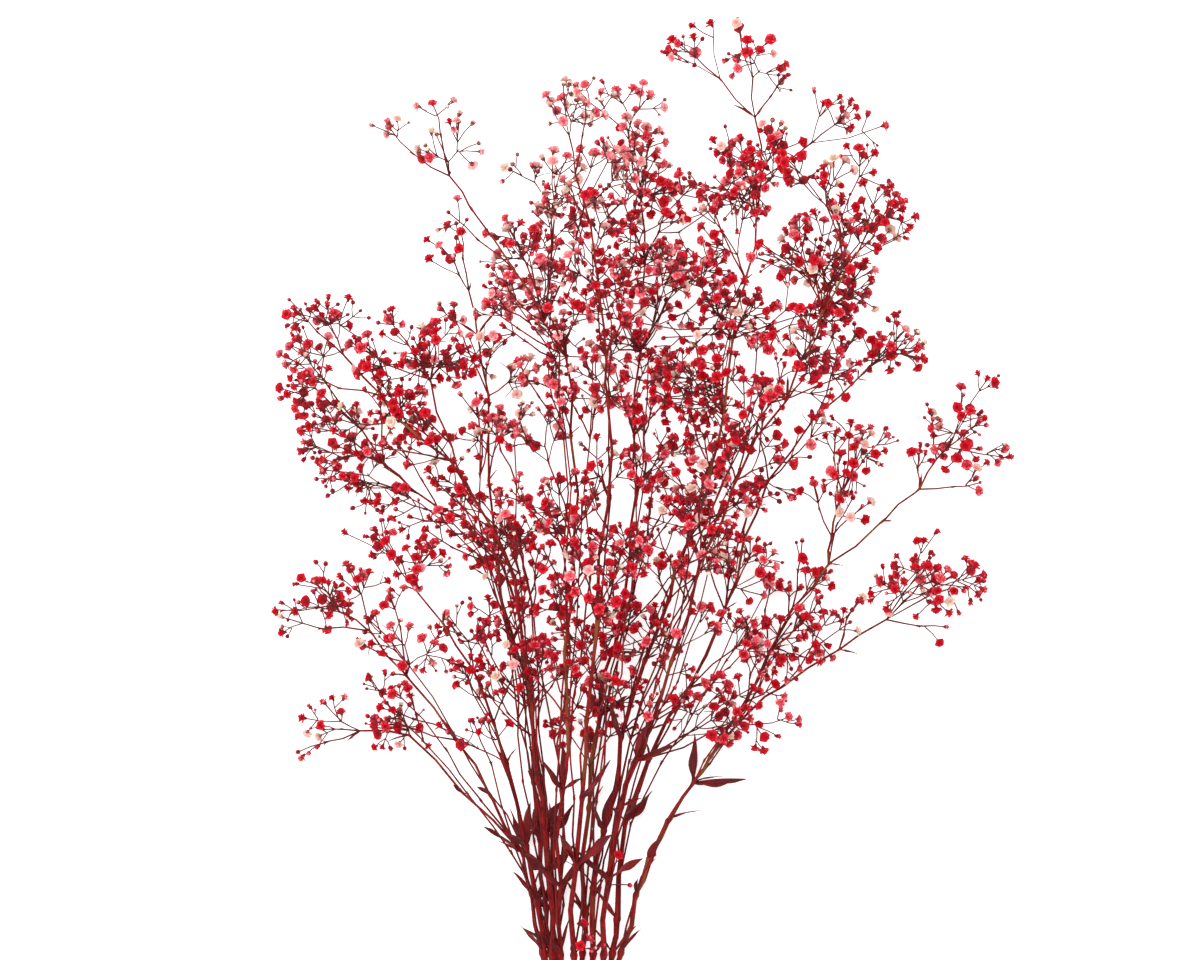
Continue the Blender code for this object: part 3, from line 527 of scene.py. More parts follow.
def grow_tip(room, owner, twig, tip, draw):
    """Ends a twig in one bloom or bud. A tip given at no height is a bloom that the bunch rests on."""
    here, rests = twig.points[-1], tip.z == 0
    size = draw.uniform(*BLOOM_SIZES)
    is_bud = draw.random() < BUD_SHARE and not rests
    reach = (BUD_RADIUS if is_bud else BLOOM_RADIUS) * size
    radius = twig_radius(1)
    lowest = RESTING_HEIGHT if rests else reach - PRESSED
    end = settle(room, owner, here, tip, radius, lowest, draw, reach)
    if end is None:
        return []
    room.take(owner, here, end, radius)
    room.take(owner, end, end, reach)
    axis = ((end - here).normalized() + any_way(draw) * BLOOM_NOD).normalized()
    return [Twig([*twig.points, end], [*twig.radii, radius], twig.base, axis, size, is_bud)]


def grow(room, owner, twig, tips, draw):
    """Forks from the end of a twig to every tip, in threes and pairs, and gives the finished twigs."""
    if len(tips) == 1:
        return grow_tip(room, owner, twig, tips[0], draw)
    here, centre = twig.points[-1], middle(tips)
    along = (centre - here).normalized()
    groups = parted(tips, along)
    reach = (centre - here).length
    aside = [middle(group) - centre for group in groups]
    spread = max((side - along * side.dot(along)).length for side in aside)
    run = min(max(reach - spread / FORK_SLOPE, reach * FORK_PLACE[0]), reach * FORK_PLACE[1])
    radius = twig_radius(len(tips))
    knee = settle(room, owner, here, here + along * run, radius, radius + FLOOR_GAP, draw)
    if knee is None:
        return []
    room.take(owner, here, knee, radius)
    leader = twig._replace(points=[*twig.points, knee], radii=[*twig.radii, radius])
    frame = frames_along(leader.points, leader.base)[-1]
    side = Twig([knee], [radius * ROOT_SHARE], frame, None, 0, False)
    grown = []
    groups.sort(key=lambda group: -(middle(group) - knee).normalized().dot(along))
    for group in groups:
        grown += grow(room, owner, side if grown else leader, group, draw)
    return grown


def grow_spray(room, owner, nodes, spray, draw):
    """The twigs of one spray, from the node that it leaves."""
    root = leaving_node(nodes, Vector((spray.x, spray.y, spray.z)))
    radius = min(twig_radius(spray.blooms), root.radius * ROOT_SHARE)
    stub = Twig([root.point], [radius], Matrix.Identity(3), None, 0, False)
    return grow(room, owner, stub, bloom_places(spray, draw), draw)


def leaf_line(node, length, turn, lean, arch=LEAF_ARCH):
    """The arched midrib of a leaf, by the share of its length, and the side that it leans to."""
    side = node.along.orthogonal().normalized()
    side.rotate(Matrix.Rotation(turn, 3, node.along))
    way = node.along * math.cos(lean) + side * math.sin(lean)
    start = node.point + way * (node.radius * LEAF_ROOT)
    return lambda share: start + (way * share + side * (arch * share * share)) * length, side


def grow_leaf(room, owner, node, length, turn, draw):
    """A leaf in the freest direction near turn, or None where there is no room."""
    best, most = None, CLEAR
    for attempt in range(LEAF_TURNS):
        swing = draw.uniform(-LEAF_SWING, LEAF_SWING) * attempt / LEAF_TURNS
        line, side = leaf_line(node, length, turn + swing, draw.uniform(*LEAF_LEAN))
        stations = [line(share) for share in LEAF_ROOM]
        if min(point.z for point in stations) < LEAF_HALF_WIDTH:
            continue
        gap = min(room.other_gap(owner, a, b, LEAF_HALF_WIDTH) for a, b in zip(stations, stations[1:]))
        if gap > most:
            best, most = (line, side, stations), gap
    if best is None:
        return None
    line, side, stations = best
    room.take_path(owner, stations, [LEAF_HALF_WIDTH] * len(stations))
    return Leaf(line, side, length, draw.uniform(-LEAF_TWIST, LEAF_TWIST), LEAF_HALF_WIDTH)


def stand_stems(room):
    """The spine, limbs and nodes of every stem, which fill the room first."""
    plans = {}
    for owner, name in enumerate(SPINES):
        path = stem_path(name)
        below = len(path) - len(SPINES[name])
        radii = [STEM_RADIUS] * below + tapered(len(SPINES[name]), STEM_RADIUS, STEM_TIP_RADIUS)
        limbs = [(limb, tapered(len(limb), LIMB_RADIUS, STEM_TIP_RADIUS)) for limb in limb_paths(name)]
        nodes = nodes_of(path, radii)[below - 1:]
        for limb, widths in limbs:
            nodes += nodes_of(limb, widths)
        for line, widths in [(path, radii), *limbs]:
            room.take_path(owner, line, widths)
        plans[name] = Plan(owner, path, radii, limbs, nodes, [], [], [], [], [])
    return plans


def taken_dye(name, number, draw):
    """How red one bloom of a spray is."""
    if draw.random() < UNDYED_SHARE:
        return draw.uniform(0.0, 0.3)
    return min(max(DYES[name][number] + draw.gauss(0, DYE_SPREAD), 0.02), 1)


def in_box(place, margin):
    """Whether a place keeps its margin inside the plain solids' box, and stands clear of the surface."""
    low, high = CAD_BOX
    inside = all(low[k] / MM + margin < place[k] < high[k] / MM - margin for k in (0, 1))
    return inside and margin < place.z < high.z / MM - margin


def grow_arms(room, plan, start, end, order, dye, draw):
    """Side arms off the last stretch of a twig, each with its own head, and their arms in turn."""
    arms = ARMS[order]
    if draw.random() > arms.chance:
        return
    run = end - start
    way = run.normalized()
    side = way.orthogonal().normalized()
    side.rotate(Matrix.Rotation(draw.uniform(0, 2 * math.pi), 3, way))
    count = draw.randint(*arms.count)
    fork = end - way * min(draw.uniform(*arms.back), run.length * 0.9)
    for number in range(count):
        side.rotate(Matrix.Rotation(2 * math.pi / count + draw.uniform(-0.35, 0.35), 3, way))
        grow_arm(room, plan, fork, way, side, order, dye, draw)


def grow_arm(room, plan, fork, way, side, order, dye, draw):
    """One arm from a fork, where its head has room."""
    arms = ARMS[order]
    pick = draw.random()
    kind = "open" if pick < arms.kinds[0] else "half" if pick < sum(arms.kinds) else "bud"
    size = draw.uniform(*HEAD_SIZES[kind])
    reach = HEAD_REACH[kind] * size
    for _ in range(ARM_TRIES):
        lean = math.radians(draw.uniform(*arms.lean))
        aim = way * math.cos(lean) + side * math.sin(lean) + any_way(draw) * 0.2
        end = fork + aim.normalized() * draw.uniform(*arms.reach)
        if in_box(end, EDGE_MARGIN) and room.ball_gap(end, reach) > HEAD_GAP:
            break
    else:
        return
    room.take(plan.owner, fork.lerp(end, 0.3), end, arms.radius)
    if order + 1 == len(ARMS) and draw.random() < BARE_SHARE:
        plan.pedicels.append(([fork, end], [arms.radius, arms.radius * 0.6]))
        return
    room.take(plan.owner, end, end, reach)
    axis = ((end - fork).normalized() + any_way(draw) * BLOOM_NOD).normalized()
    plan.pedicels.append(([fork, end], [arms.radius * 1.15, arms.radius]))
    plan.heads.append(Head(end, axis, size, kind, taken_dye(*dye, draw)))
    if order + 1 < len(ARMS):
        grow_arms(room, plan, fork, end, order + 1, dye, draw)


def nearest_spray(name, point):
    """The number of the stem's own spray that is nearest to a point."""
    sprays = SPRAYS[name]
    return min(range(len(sprays)), key=lambda n: (Vector(sprays[n][:3]) - point).length)


def grow_shoot(room, plan, path, dye, draw):
    """A thin shoot along path, ending in a head among its arms."""
    plan.shoots.append((path, tapered(len(path), 0.52 if len(path) > 3 else 0.42, 0.3)))
    for start, end in zip(path, path[1:]):
        room.take(plan.owner, start.lerp(end, 0.1), end, 0.4)
    axis = ((path[-1] - path[-2]).normalized() + any_way(draw) * BLOOM_NOD).normalized()
    kind = draw.choice(KINDS)
    size = draw.uniform(*HEAD_SIZES[kind])
    room.take(plan.owner, path[-1], path[-1], HEAD_REACH[kind] * size)
    plan.heads.append(Head(path[-1], axis, size, kind, taken_dye(*dye, draw)))
    grow_arms(room, plan, path[-2], path[-1], 0, dye, draw)


def grow_side_shoots(room, plan, name, nodes, chance, draw):
    """Short shoots from the nodes of a stem or of a long shoot, in the gaps between the sprays."""
    for node in nodes:
        for turn in (0, math.pi):
            if node.point.y < LOWEST_SHOOT or draw.random() > chance:
                continue
            for _ in range(ARM_TRIES):
                lean = math.radians(draw.uniform(*SHOOT_LEAN))
                side = node.along.orthogonal().normalized()
                side.rotate(Matrix.Rotation(turn + draw.uniform(-1.2, 1.2), 3, node.along))
                way = node.along * math.cos(lean) + side * math.sin(lean)
                length = draw.uniform(*SHOOT_REACH)
                knee = node.point + way * (length * 0.55)
                end = knee + (way + node.along * 0.35 + any_way(draw) * 0.25).normalized() * (length * 0.45)
                clear = room.ball_gap(end, 2.5) > HEAD_GAP and room.other_gap(plan.owner, knee, end, 0.4) > 0
                if in_box(end, EDGE_MARGIN) and in_box(knee, 1) and clear:
                    dye = (name, nearest_spray(name, end))
                    grow_shoot(room, plan, [node.point, knee, end], dye, draw)
                    break


def grow_long_shoots(room, plan, name, draw):
    """Slender shoots from the lowest nodes that run beside the stem and end among the blooms."""
    spine = plan.path[len(plan.path) - len(SPINES[name]):]
    for number in range(LONG_SHOOTS):
        first = number
        last = round((len(spine) - 1) * draw.uniform(*LONG_SHOOT_END))
        for _ in range(ARM_TRIES):
            side = any_way(draw)
            side.y *= 0.3
            aside = draw.uniform(*LONG_SHOOT_ASIDE)
            path = [spine[first]]
            for n in range(first + 1, last + 1):
                share = (n - first) / (last - first)
                path.append(spine[n] + side * (aside * share ** 0.7) + any_way(draw) * 1.5)
            clear = all(room.other_gap(plan.owner, a, b, 0.5) > 0 for a, b in zip(path[1:], path[2:]))
            if all(in_box(point, 1.5) for point in path) and in_box(path[-1], EDGE_MARGIN) and clear:
                dye = (name, nearest_spray(name, path[-1]))
                grow_shoot(room, plan, path, dye, draw)
                nodes = nodes_of(path, [0.5] * len(path))[:-1]
                grow_side_shoots(room, plan, name, nodes, LONG_SHOOT_SHARE, draw)
                break


def grow_companions(room, plan, name, draw):
    """More sprays of thinner twigs beside the plain solids' sprays."""
    for number, spray in enumerate(SPRAYS[name]):
        for _ in range(int(FULLNESS[name][number] - 1 + draw.random())):
            shift = any_way(draw) * COMPANION_SHIFT
            beside = spray._replace(
                x=spray.x + shift.x * spray.wide, y=spray.y + shift.y * spray.tall,
                z=spray.z + shift.z * spray.deep, wide=spray.wide * COMPANION_SIZE,
                tall=spray.tall * COMPANION_SIZE, blooms=COMPANION_BLOOMS, outermost=(),
            )
            for twig in grow_spray(room, plan.owner, plan.nodes, beside, draw):
                if not in_box(twig.points[-1], EDGE_MARGIN):
                    continue
                plan.sprays.append([twig])
                kind = "bud" if twig.is_bud else "open"
                dye = (name, number)
                plan.heads.append(Head(twig.points[-1], twig.axis, twig.size, kind, taken_dye(*dye, draw)))
                grow_arms(room, plan, twig.points[-2], twig.points[-1], 0, dye, draw)


@lru_cache(maxsize=1)
def grown_bunch():
    """Where every stem, leaf, twig and head goes: first as in the plain solids, then the finer growth."""
    room = Room()
    plans = stand_stems(room)
    for name, plan in plans.items():
        draw = random.Random(f"{SEED} leaves {name}")
        for at, length in LEAF_PAIRS[name]:
            for turn in (at, at + math.pi):
                leaf = grow_leaf(room, plan.owner, plan.nodes[at], length, turn, draw)
                plan.leaves.extend([leaf] if leaf else [])
    for name, plan in plans.items():
        for number, spray in enumerate(SPRAYS[name]):
            draw = random.Random(f"{SEED} spray {name} {number}")
            plan.sprays.append(grow_spray(room, plan.owner, plan.nodes, spray, draw))
    for name, plan in plans.items():
        draw = random.Random(f"{SEED} arms {name}")
        for number, twigs in enumerate(plan.sprays):
            for twig in twigs:
                kind = "bud" if twig.is_bud else "open"
                shade = taken_dye(name, number, draw)
                plan.heads.append(Head(twig.points[-1], twig.axis, twig.size, kind, shade))
                if draw.random() < FULLNESS[name][number]:
                    grow_arms(room, plan, twig.points[-2], twig.points[-1], 0, (name, number), draw)
    for name, plan in plans.items():
        draw = random.Random(f"{SEED} companions {name}")
        grow_companions(room, plan, name, draw)
    for name, plan in plans.items():
        draw = random.Random(f"{SEED} shoots {name}")
        grow_long_shoots(room, plan, name, draw)
        grow_side_shoots(room, plan, name, plan.nodes, SHOOT_SHARE, draw)
    return plans


class StemSettings(PropertyGroup):
    """Colours of the stems."""

    stem_colour: FloatVectorProperty(
        name="Stem colour", description="Dyed bark of the stout stems", subtype="COLOR", size=4,
        min=0, max=1, default=(0.33, 0.013, 0.013, 1),
    )
    shade_colour: FloatVectorProperty(
        name="Stem shade", description="Darker streaks of the bark", subtype="COLOR", size=4,
        min=0, max=1, default=(0.12, 0.005, 0.006, 1),
    )
    bare_colour: FloatVectorProperty(
        name="Bare patches", description="Straw colour where the dye didn't take", subtype="COLOR", size=4,
        min=0, max=1, default=(0.3, 0.13, 0.04, 1),
    )
    twig_colour: FloatVectorProperty(
        name="Twig colour", description="Wine colour of the thin twigs", subtype="COLOR", size=4,
        min=0, max=1, default=(0.14, 0.016, 0.018, 1),
    )
    pedicel_colour: FloatVectorProperty(
        name="Pedicel colour", description="Greyed colour of the thinnest stalks", subtype="COLOR", size=4,
        min=0, max=1, default=(0.17, 0.045, 0.042, 1),
    )


class LeafSettings(PropertyGroup):
    """Shape and colours of the leaves."""

    leaf_colour: FloatVectorProperty(
        name="Leaf colour", description="Dried, dyed leaf", subtype="COLOR", size=4,
        min=0, max=1, default=(0.1, 0.01, 0.013, 1),
    )
    vein_colour: FloatVectorProperty(
        name="Vein colour", description="Paler ribs along the leaf", subtype="COLOR", size=4,
        min=0, max=1, default=(0.22, 0.028, 0.028, 1),
    )
    patch_colour: FloatVectorProperty(
        name="Patches", description="Redder patches of a leaf", subtype="COLOR", size=4,
        min=0, max=1, default=(0.24, 0.014, 0.015, 1),
    )
    thickness: FloatProperty(
        name="Thickness", description="Thickness of a leaf", unit="LENGTH", min=0.0001, max=0.001,
        default=0.0003, precision=5,
    )


class BloomSettings(PropertyGroup):
    """Colours of the blooms, from undyed to full dye."""

    undyed_colour: FloatVectorProperty(
        name="Undyed", description="Cream of a petal that took no dye", subtype="COLOR", size=4,
        min=0, max=1, default=(0.8, 0.71, 0.56, 1),
    )
    pale_colour: FloatVectorProperty(
        name="Pale", description="Petal that took a little dye", subtype="COLOR", size=4,
        min=0, max=1, default=(0.92, 0.48, 0.49, 1),
    )
    pink_colour: FloatVectorProperty(
        name="Pink", description="Petal that took half the dye", subtype="COLOR", size=4,
        min=0, max=1, default=(0.88, 0.14, 0.19, 1),
    )
    red_colour: FloatVectorProperty(
        name="Red", description="Petal that took the most dye", subtype="COLOR", size=4,
        min=0, max=1, default=(0.64, 0.009, 0.024, 1),
    )
    calyx_colour: FloatVectorProperty(
        name="Calyx", description="Wine colour of the calyx and the small buds", subtype="COLOR", size=4,
        min=0, max=1, default=(0.24, 0.01, 0.022, 1),
    )


class BandSettings(PropertyGroup):
    """The elastic band's turns and colour."""

    turns: IntProperty(name="Turns", description="Times that the band goes round", min=2, max=5, default=3)
    width: FloatProperty(
        name="Width", description="Width of the flat strand", unit="LENGTH", min=0.001, max=0.004,
        default=0.0023, precision=4,
    )
    band_colour: FloatVectorProperty(
        name="Band colour", description="Natural rubber", subtype="COLOR", size=4,
        min=0, max=1, default=(0.56, 0.36, 0.18, 1),
    )


class StageSettings(PropertyGroup):
    """Floor, light and camera."""

    floor_colour: FloatVectorProperty(
        name="Floor colour", description="Pale studio floor", subtype="COLOR", size=4,
        min=0, max=1, default=(0.95, 0.95, 0.95, 1),
    )
    floor_size: FloatProperty(
        name="Floor size", description="Side of the square floor", unit="LENGTH", min=1, default=24,
    )
    floor_glow: FloatProperty(
        name="Floor glow", description="Light from the floor, as from a light table", min=0, default=0.6,
    )
    lamp_power: FloatProperty(
        name="Lamp power", description="Power of the broad overhead lamp", unit="POWER", min=0, default=80,
    )
    sky_strength: FloatProperty(
        name="Fill light", description="Strength of the white surround", min=0, default=0.65,
    )
    lens: FloatProperty(
        name="Lens", description="Focal length in millimetres", min=20, max=400, default=200,
    )
    framed_width: FloatProperty(
        name="Framed width", description="Width that the camera takes in at the bunch", unit="LENGTH",
        min=0.1, default=0.552,
    )


def settings():
    return bpy.context.scene


def finished(name, bm, materials, sharp=SHARP_ANGLE):
    """A piece at the origin with the bmesh's faces, smooth but for its sharp edges, riding on the root."""
    mesh = bpy.data.meshes.new(name)
    for material in materials:
        mesh.materials.append(material)
    for vertex in bm.verts:
        vertex.co.z = max(vertex.co.z, 0)
    bm.to_mesh(mesh)
    bm.free()
    mesh.shade_smooth()
    mesh.set_sharp_from_angle(angle=sharp)
    made = bpy.data.objects.new(name, mesh)
    bpy.context.scene.collection.objects.link(made)
    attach(made, "root")
    return made


def nodes_in(tree):
    """A short way to add a node, set its values and join its inputs in one call."""

    def add(kind, inputs=(), **values):
        node = tree.nodes.new(kind)
        for key, value in values.items():
            setattr(node, key, value)
        for key, value in dict(inputs).items():
            if isinstance(value, bpy.types.NodeSocket):
                tree.links.new(value, node.inputs[key])
            else:
                node.inputs[key].default_value = value
        return node

    return add


@lru_cache(maxsize=None)
def dried_grain():
    """Fine streaks and mottling of dried plant matter: a mask and a normal."""
    tree = bpy.data.node_groups.new("dried_grain", "ShaderNodeTree")
    face = tree.interface
    face.new_socket("Vector", in_out="INPUT", socket_type="NodeSocketVector")
    for name, value in (("Scale", 300.0), ("Depth", 0.3)):
        face.new_socket(name, in_out="INPUT", socket_type="NodeSocketFloat").default_value = value
    face.new_socket("Mask", in_out="OUTPUT", socket_type="NodeSocketFloat")
    face.new_socket("Patches", in_out="OUTPUT", socket_type="NodeSocketFloat")
    face.new_socket("Normal", in_out="OUTPUT", socket_type="NodeSocketVector")
    add = nodes_in(tree)
    given = add("NodeGroupInput")
    streaks = add(
        "ShaderNodeTexNoise",
        {"Vector": given.outputs["Vector"], "Scale": given.outputs["Scale"], "Detail": 3.0},
    )
    patches = add("ShaderNodeTexNoise", {"Vector": given.outputs["Vector"], "Scale": 55.0, "Detail": 2.0})
    bump = add(
        "ShaderNodeBump",
        {"Strength": given.outputs["Depth"], "Distance": 0.0002, "Height": streaks.outputs["Fac"]},
    )
    out = add("NodeGroupOutput")
    tree.links.new(streaks.outputs["Fac"], out.inputs["Mask"])
    tree.links.new(patches.outputs["Fac"], out.inputs["Patches"])
    tree.links.new(bump.outputs["Normal"], out.inputs["Normal"])
    return tree


def dried_material(name, roughness, specular):
    """A new material with a plain shader, and how to add nodes to it."""
    material = bpy.data.materials.new(name)
    material.use_nodes = True
    shader = material.node_tree.nodes["Principled BSDF"]
    shader.inputs["Roughness"].default_value = roughness
    shader.inputs["Specular IOR Level"].default_value = specular
    return material, nodes_in(material.node_tree), shader


def ramp_stops(ramp, stops):
    """Gives a colour ramp these places and colours."""
    elements = ramp.color_ramp.elements
    while len(elements) < len(stops):
        elements.new(1)
    for element, (place, colour) in zip(elements, stops):
        element.position = place
        element.color = colour


def bark_material(name, colour, shade, patch, patch_from):
    """Dyed bark: streaks of shade along the stem, and patches where the dye is thin."""
    material, add, shader = dried_material(name, 0.6, 0.1)
    place = add("ShaderNodeTexCoord")
    stretch = add("ShaderNodeMapping", {"Vector": place.outputs["Object"], "Scale": (1.0, 0.07, 1.0)})
    grain = add("ShaderNodeGroup", node_tree=dried_grain())
    link = material.node_tree.links.new
    link(stretch.outputs["Vector"], grain.inputs["Vector"])
    grain.inputs["Scale"].default_value = 900
    grain.inputs["Depth"].default_value = 0.35
    streaked = add("ShaderNodeMix", data_type="RGBA")
    contrast = add("ShaderNodeMapRange", {"Value": grain.outputs["Mask"], "From Min": 0.35, "From Max": 0.7})
    link(contrast.outputs["Result"], streaked.inputs["Factor"])
    streaked.inputs["A"].default_value = shade
    streaked.inputs["B"].default_value = colour
    thin = add(
        "ShaderNodeMapRange",
        {"Value": grain.outputs["Patches"], "From Min": patch_from, "From Max": patch_from + 0.16, "To Max": 0.75},
    )
    patched = add("ShaderNodeMix", data_type="RGBA")
    link(thin.outputs["Result"], patched.inputs["Factor"])
    link(streaked.outputs["Result"], patched.inputs["A"])
    patched.inputs["B"].default_value = patch
    link(patched.outputs["Result"], shader.inputs["Base Color"])
    link(grain.outputs["Normal"], shader.inputs["Normal"])
    return material


def petal_material():
    """Petals from cream to deep red by how much dye each bloom took, with painted shade darkening them towards
    each bloom's heart and a painted highlight paling their tips.
    """
    bloom = settings().bloom_settings
    material, add, shader = dried_material("dyed_petals", 0.65, 0.1)
    link = material.node_tree.links.new
    place = add("ShaderNodeTexCoord")
    grain = add("ShaderNodeGroup", node_tree=dried_grain())
    link(place.outputs["Object"], grain.inputs["Vector"])
    grain.inputs["Scale"].default_value = 1400
    grain.inputs["Depth"].default_value = 0.3
    dye = add("ShaderNodeAttribute", attribute_name="dye")
    tone = add("ShaderNodeAttribute", attribute_name="tone")
    uneven = add(
        "ShaderNodeMapRange",
        {"Value": grain.outputs["Mask"], "From Min": 0.3, "From Max": 0.7, "To Min": -0.2, "To Max": 0.2},
    )
    wetted = add("ShaderNodeMath", {0: dye.outputs["Fac"], 1: uneven.outputs["Result"]}, operation="ADD")
    # Painted highlight: the petal tips are made paler by lowering the dye there, and the petal middles a little
    # redder.
    edge = add(
        "ShaderNodeMapRange",
        {"Value": tone.outputs["Fac"], "From Min": 0.5, "From Max": 1.0, "To Min": 0.08, "To Max": -0.42},
    )
    dye_with_tip_highlight = add("ShaderNodeMath", {0: wetted.outputs[0], 1: edge.outputs["Result"]}, operation="ADD")
    ramp = add("ShaderNodeValToRGB", {"Fac": dye_with_tip_highlight.outputs[0]})
    ramp_stops(ramp, [
        (0.0, bloom.undyed_colour), (0.28, bloom.pale_colour), (0.55, bloom.pink_colour),
        (0.82, bloom.red_colour),
    ])
    # Painted shade: towards each bloom's heart, where the petals crowd, the colour is multiplied by itself and so
    # darkened.
    fold = add(
        "ShaderNodeMapRange",
        {"Value": tone.outputs["Fac"], "From Min": 0.0, "From Max": 0.5, "To Min": 0.55, "To Max": 0.0},
    )
    folded = add("ShaderNodeMix", data_type="RGBA")
    link(fold.outputs["Result"], folded.inputs["Factor"])
    link(ramp.outputs["Color"], folded.inputs["A"])
    deep = add("ShaderNodeMix", data_type="RGBA", blend_type="MULTIPLY")
    deep.inputs["Factor"].default_value = 1
    link(ramp.outputs["Color"], deep.inputs["A"])
    link(ramp.outputs["Color"], deep.inputs["B"])
    link(deep.outputs["Result"], folded.inputs["B"])
    link(folded.outputs["Result"], shader.inputs["Base Color"])
    link(grain.outputs["Normal"], shader.inputs["Normal"])
    return material


def calyx_material():
    """Wine-coloured calyx and bud, mottled with paler olive patches on blooms that took little dye."""
    bloom = settings().bloom_settings
    material, add, shader = dried_material("dyed_calyx", 0.55, 0.12)
    link = material.node_tree.links.new
    place = add("ShaderNodeTexCoord")
    grain = add("ShaderNodeGroup", node_tree=dried_grain())
    link(place.outputs["Object"], grain.inputs["Vector"])
    grain.inputs["Scale"].default_value = 1100
    dye = add("ShaderNodeAttribute", attribute_name="dye")
    pale = add(
        "ShaderNodeMapRange",
        {"Value": dye.outputs["Fac"], "From Min": 0.15, "From Max": 0.75, "To Min": 0.75, "To Max": 0.0},
    )
    dull = add(
        "ShaderNodeMapRange",
        {"Value": grain.outputs["Mask"], "From Min": 0.45, "From Max": 0.62},
    )
    both = add("ShaderNodeMath", {0: pale.outputs["Result"], 1: dull.outputs["Result"]}, operation="MULTIPLY")
    mix = add("ShaderNodeMix", data_type="RGBA")
    link(both.outputs[0], mix.inputs["Factor"])
    mix.inputs["A"].default_value = bloom.calyx_colour
    mix.inputs["B"].default_value = (0.42, 0.33, 0.17, 1)
    link(mix.outputs["Result"], shader.inputs["Base Color"])
    link(grain.outputs["Normal"], shader.inputs["Normal"])
    return material


def leaf_material():
    """Dark dried leaf with fine ribs along it."""
    leaf = settings().leaf_settings
    material, add, shader = dried_material("dyed_leaf", 0.55, 0.12)
    link = material.node_tree.links.new
    map_of = add("ShaderNodeUVMap", uv_map="UVMap")
    ribs = add("ShaderNodeTexWave", {"Vector": map_of.outputs["UV"], "Scale": 2.2, "Distortion": 1.5})
    place = add("ShaderNodeTexCoord")
    grain = add("ShaderNodeGroup", node_tree=dried_grain())
    link(place.outputs["Object"], grain.inputs["Vector"])
    grain.inputs["Scale"].default_value = 500
    both = add("ShaderNodeMath", {0: ribs.outputs["Fac"], 1: grain.outputs["Mask"]}, operation="MULTIPLY")
    mix = add("ShaderNodeMix", data_type="RGBA")
    link(both.outputs[0], mix.inputs["Factor"])
    mix.inputs["A"].default_value = leaf.leaf_colour
    mix.inputs["B"].default_value = leaf.vein_colour
    thin = add(
        "ShaderNodeMapRange",
        {"Value": grain.outputs["Patches"], "From Min": 0.4, "From Max": 0.56, "To Max": 0.85},
    )
    patched = add("ShaderNodeMix", data_type="RGBA")
    link(thin.outputs["Result"], patched.inputs["Factor"])
    link(mix.outputs["Result"], patched.inputs["A"])
    patched.inputs["B"].default_value = leaf.patch_colour
    bump = add("ShaderNodeBump", {"Strength": 0.4, "Distance": 0.0002, "Height": ribs.outputs["Fac"]})
    link(grain.outputs["Normal"], bump.inputs["Normal"])
    link(patched.outputs["Result"], shader.inputs["Base Color"])
    link(bump.outputs["Normal"], shader.inputs["Normal"])
    return material


def band_material():
    """Matt natural rubber with a little dust."""
    band = settings().band_settings
    material, add, shader = dried_material("natural_rubber", 0.5, 0.25)
    link = material.node_tree.links.new
    place = add("ShaderNodeTexCoord")
    grain = add("ShaderNodeGroup", node_tree=dried_grain())
    link(place.outputs["Object"], grain.inputs["Vector"])
    grain.inputs["Scale"].default_value = 700
    grain.inputs["Depth"].default_value = 0.15
    mix = add("ShaderNodeMix", data_type="RGBA")
    link(grain.outputs["Patches"], mix.inputs["Factor"])
    mix.inputs["A"].default_value = band.band_colour
    mix.inputs["B"].default_value = (0.68, 0.5, 0.3, 1)
    link(mix.outputs["Result"], shader.inputs["Base Color"])
    link(grain.outputs["Normal"], shader.inputs["Normal"])
    return material


def fine_radius(radius):
    """The true radius of a twig that the plain solids have stouter."""
    return max(radius * FINE_SHARE - FINE_LESS, THINNEST)


def bowed(start, end, draw):
    """A point near the middle of a straight run, so that it bows a little."""
    run = end - start
    return start.lerp(end, 0.5) + any_way(draw) * (run.length * BOW)


def stretch_points(path, radii, swelling, reach, draw):
    """A path with a bowed point in each run and a swollen node at each knee."""
    points, widths = [path[0]], [radii[0]]
    for n in range(1, len(path)):
        points.append(bowed(path[n - 1], path[n], draw))
        widths.append((radii[n - 1] + radii[n]) / 2)
        if n == len(path) - 1:
            break
        for toward, share in ((n - 1, 1), (None, swelling), (n + 1, 1)):
            place = path[n]
            if toward is not None:
                run = path[toward] - path[n]
                place = path[n] + run.normalized() * min(reach, run.length / 3)
            points.append(place)
            widths.append(radii[n] * share)
    return [*points, path[-1]], [*widths, radii[-1]]


def tubes(name, lines, sides_level):
    """One closed tube for each line of points and radii, as a mesh."""
    curve = bpy.data.curves.new(name, "CURVE")
    curve.dimensions = "3D"
    curve.bevel_depth = MM
    curve.bevel_resolution = sides_level
    curve.use_fill_caps = True
    for points, radii in lines:
        spline = curve.splines.new("POLY")
        spline.points.add(len(points) - 1)
        for place, point, radius in zip(spline.points, points, radii):
            place.co = (*(point * MM), 1)
            place.radius = radius
    holder = bpy.data.objects.new(name, curve)
    bpy.context.scene.collection.objects.link(holder)
    graph = bpy.context.evaluated_depsgraph_get()
    mesh = bpy.data.meshes.new_from_object(holder.evaluated_get(graph))
    bpy.data.objects.remove(holder)
    bpy.data.curves.remove(curve)
    return mesh


def stem_lines(name, plan, draw):
    """The stout lines of a stem: its spine and limbs."""
    below = len(plan.path) - len(SPINES[name])
    top = len(plan.path) - 1
    girth = STEM_RADIUS * draw.uniform(*GIRTHS) - TOP_RADIUS
    radii = [STEM_RADIUS] * below
    radii += [TOP_RADIUS + girth * (1 - (n - below) / (top - below)) ** TAPER for n in range(below, top + 1)]
    lines = [stretch_points(plan.path, radii, 1.45, LEAF_NODE_REACH, draw)]
    for limb, widths in plan.limbs:
        lines.append(stretch_points(limb, [0.65 * width for width in widths], 1.3, SWELLING_REACH, draw))
    return lines


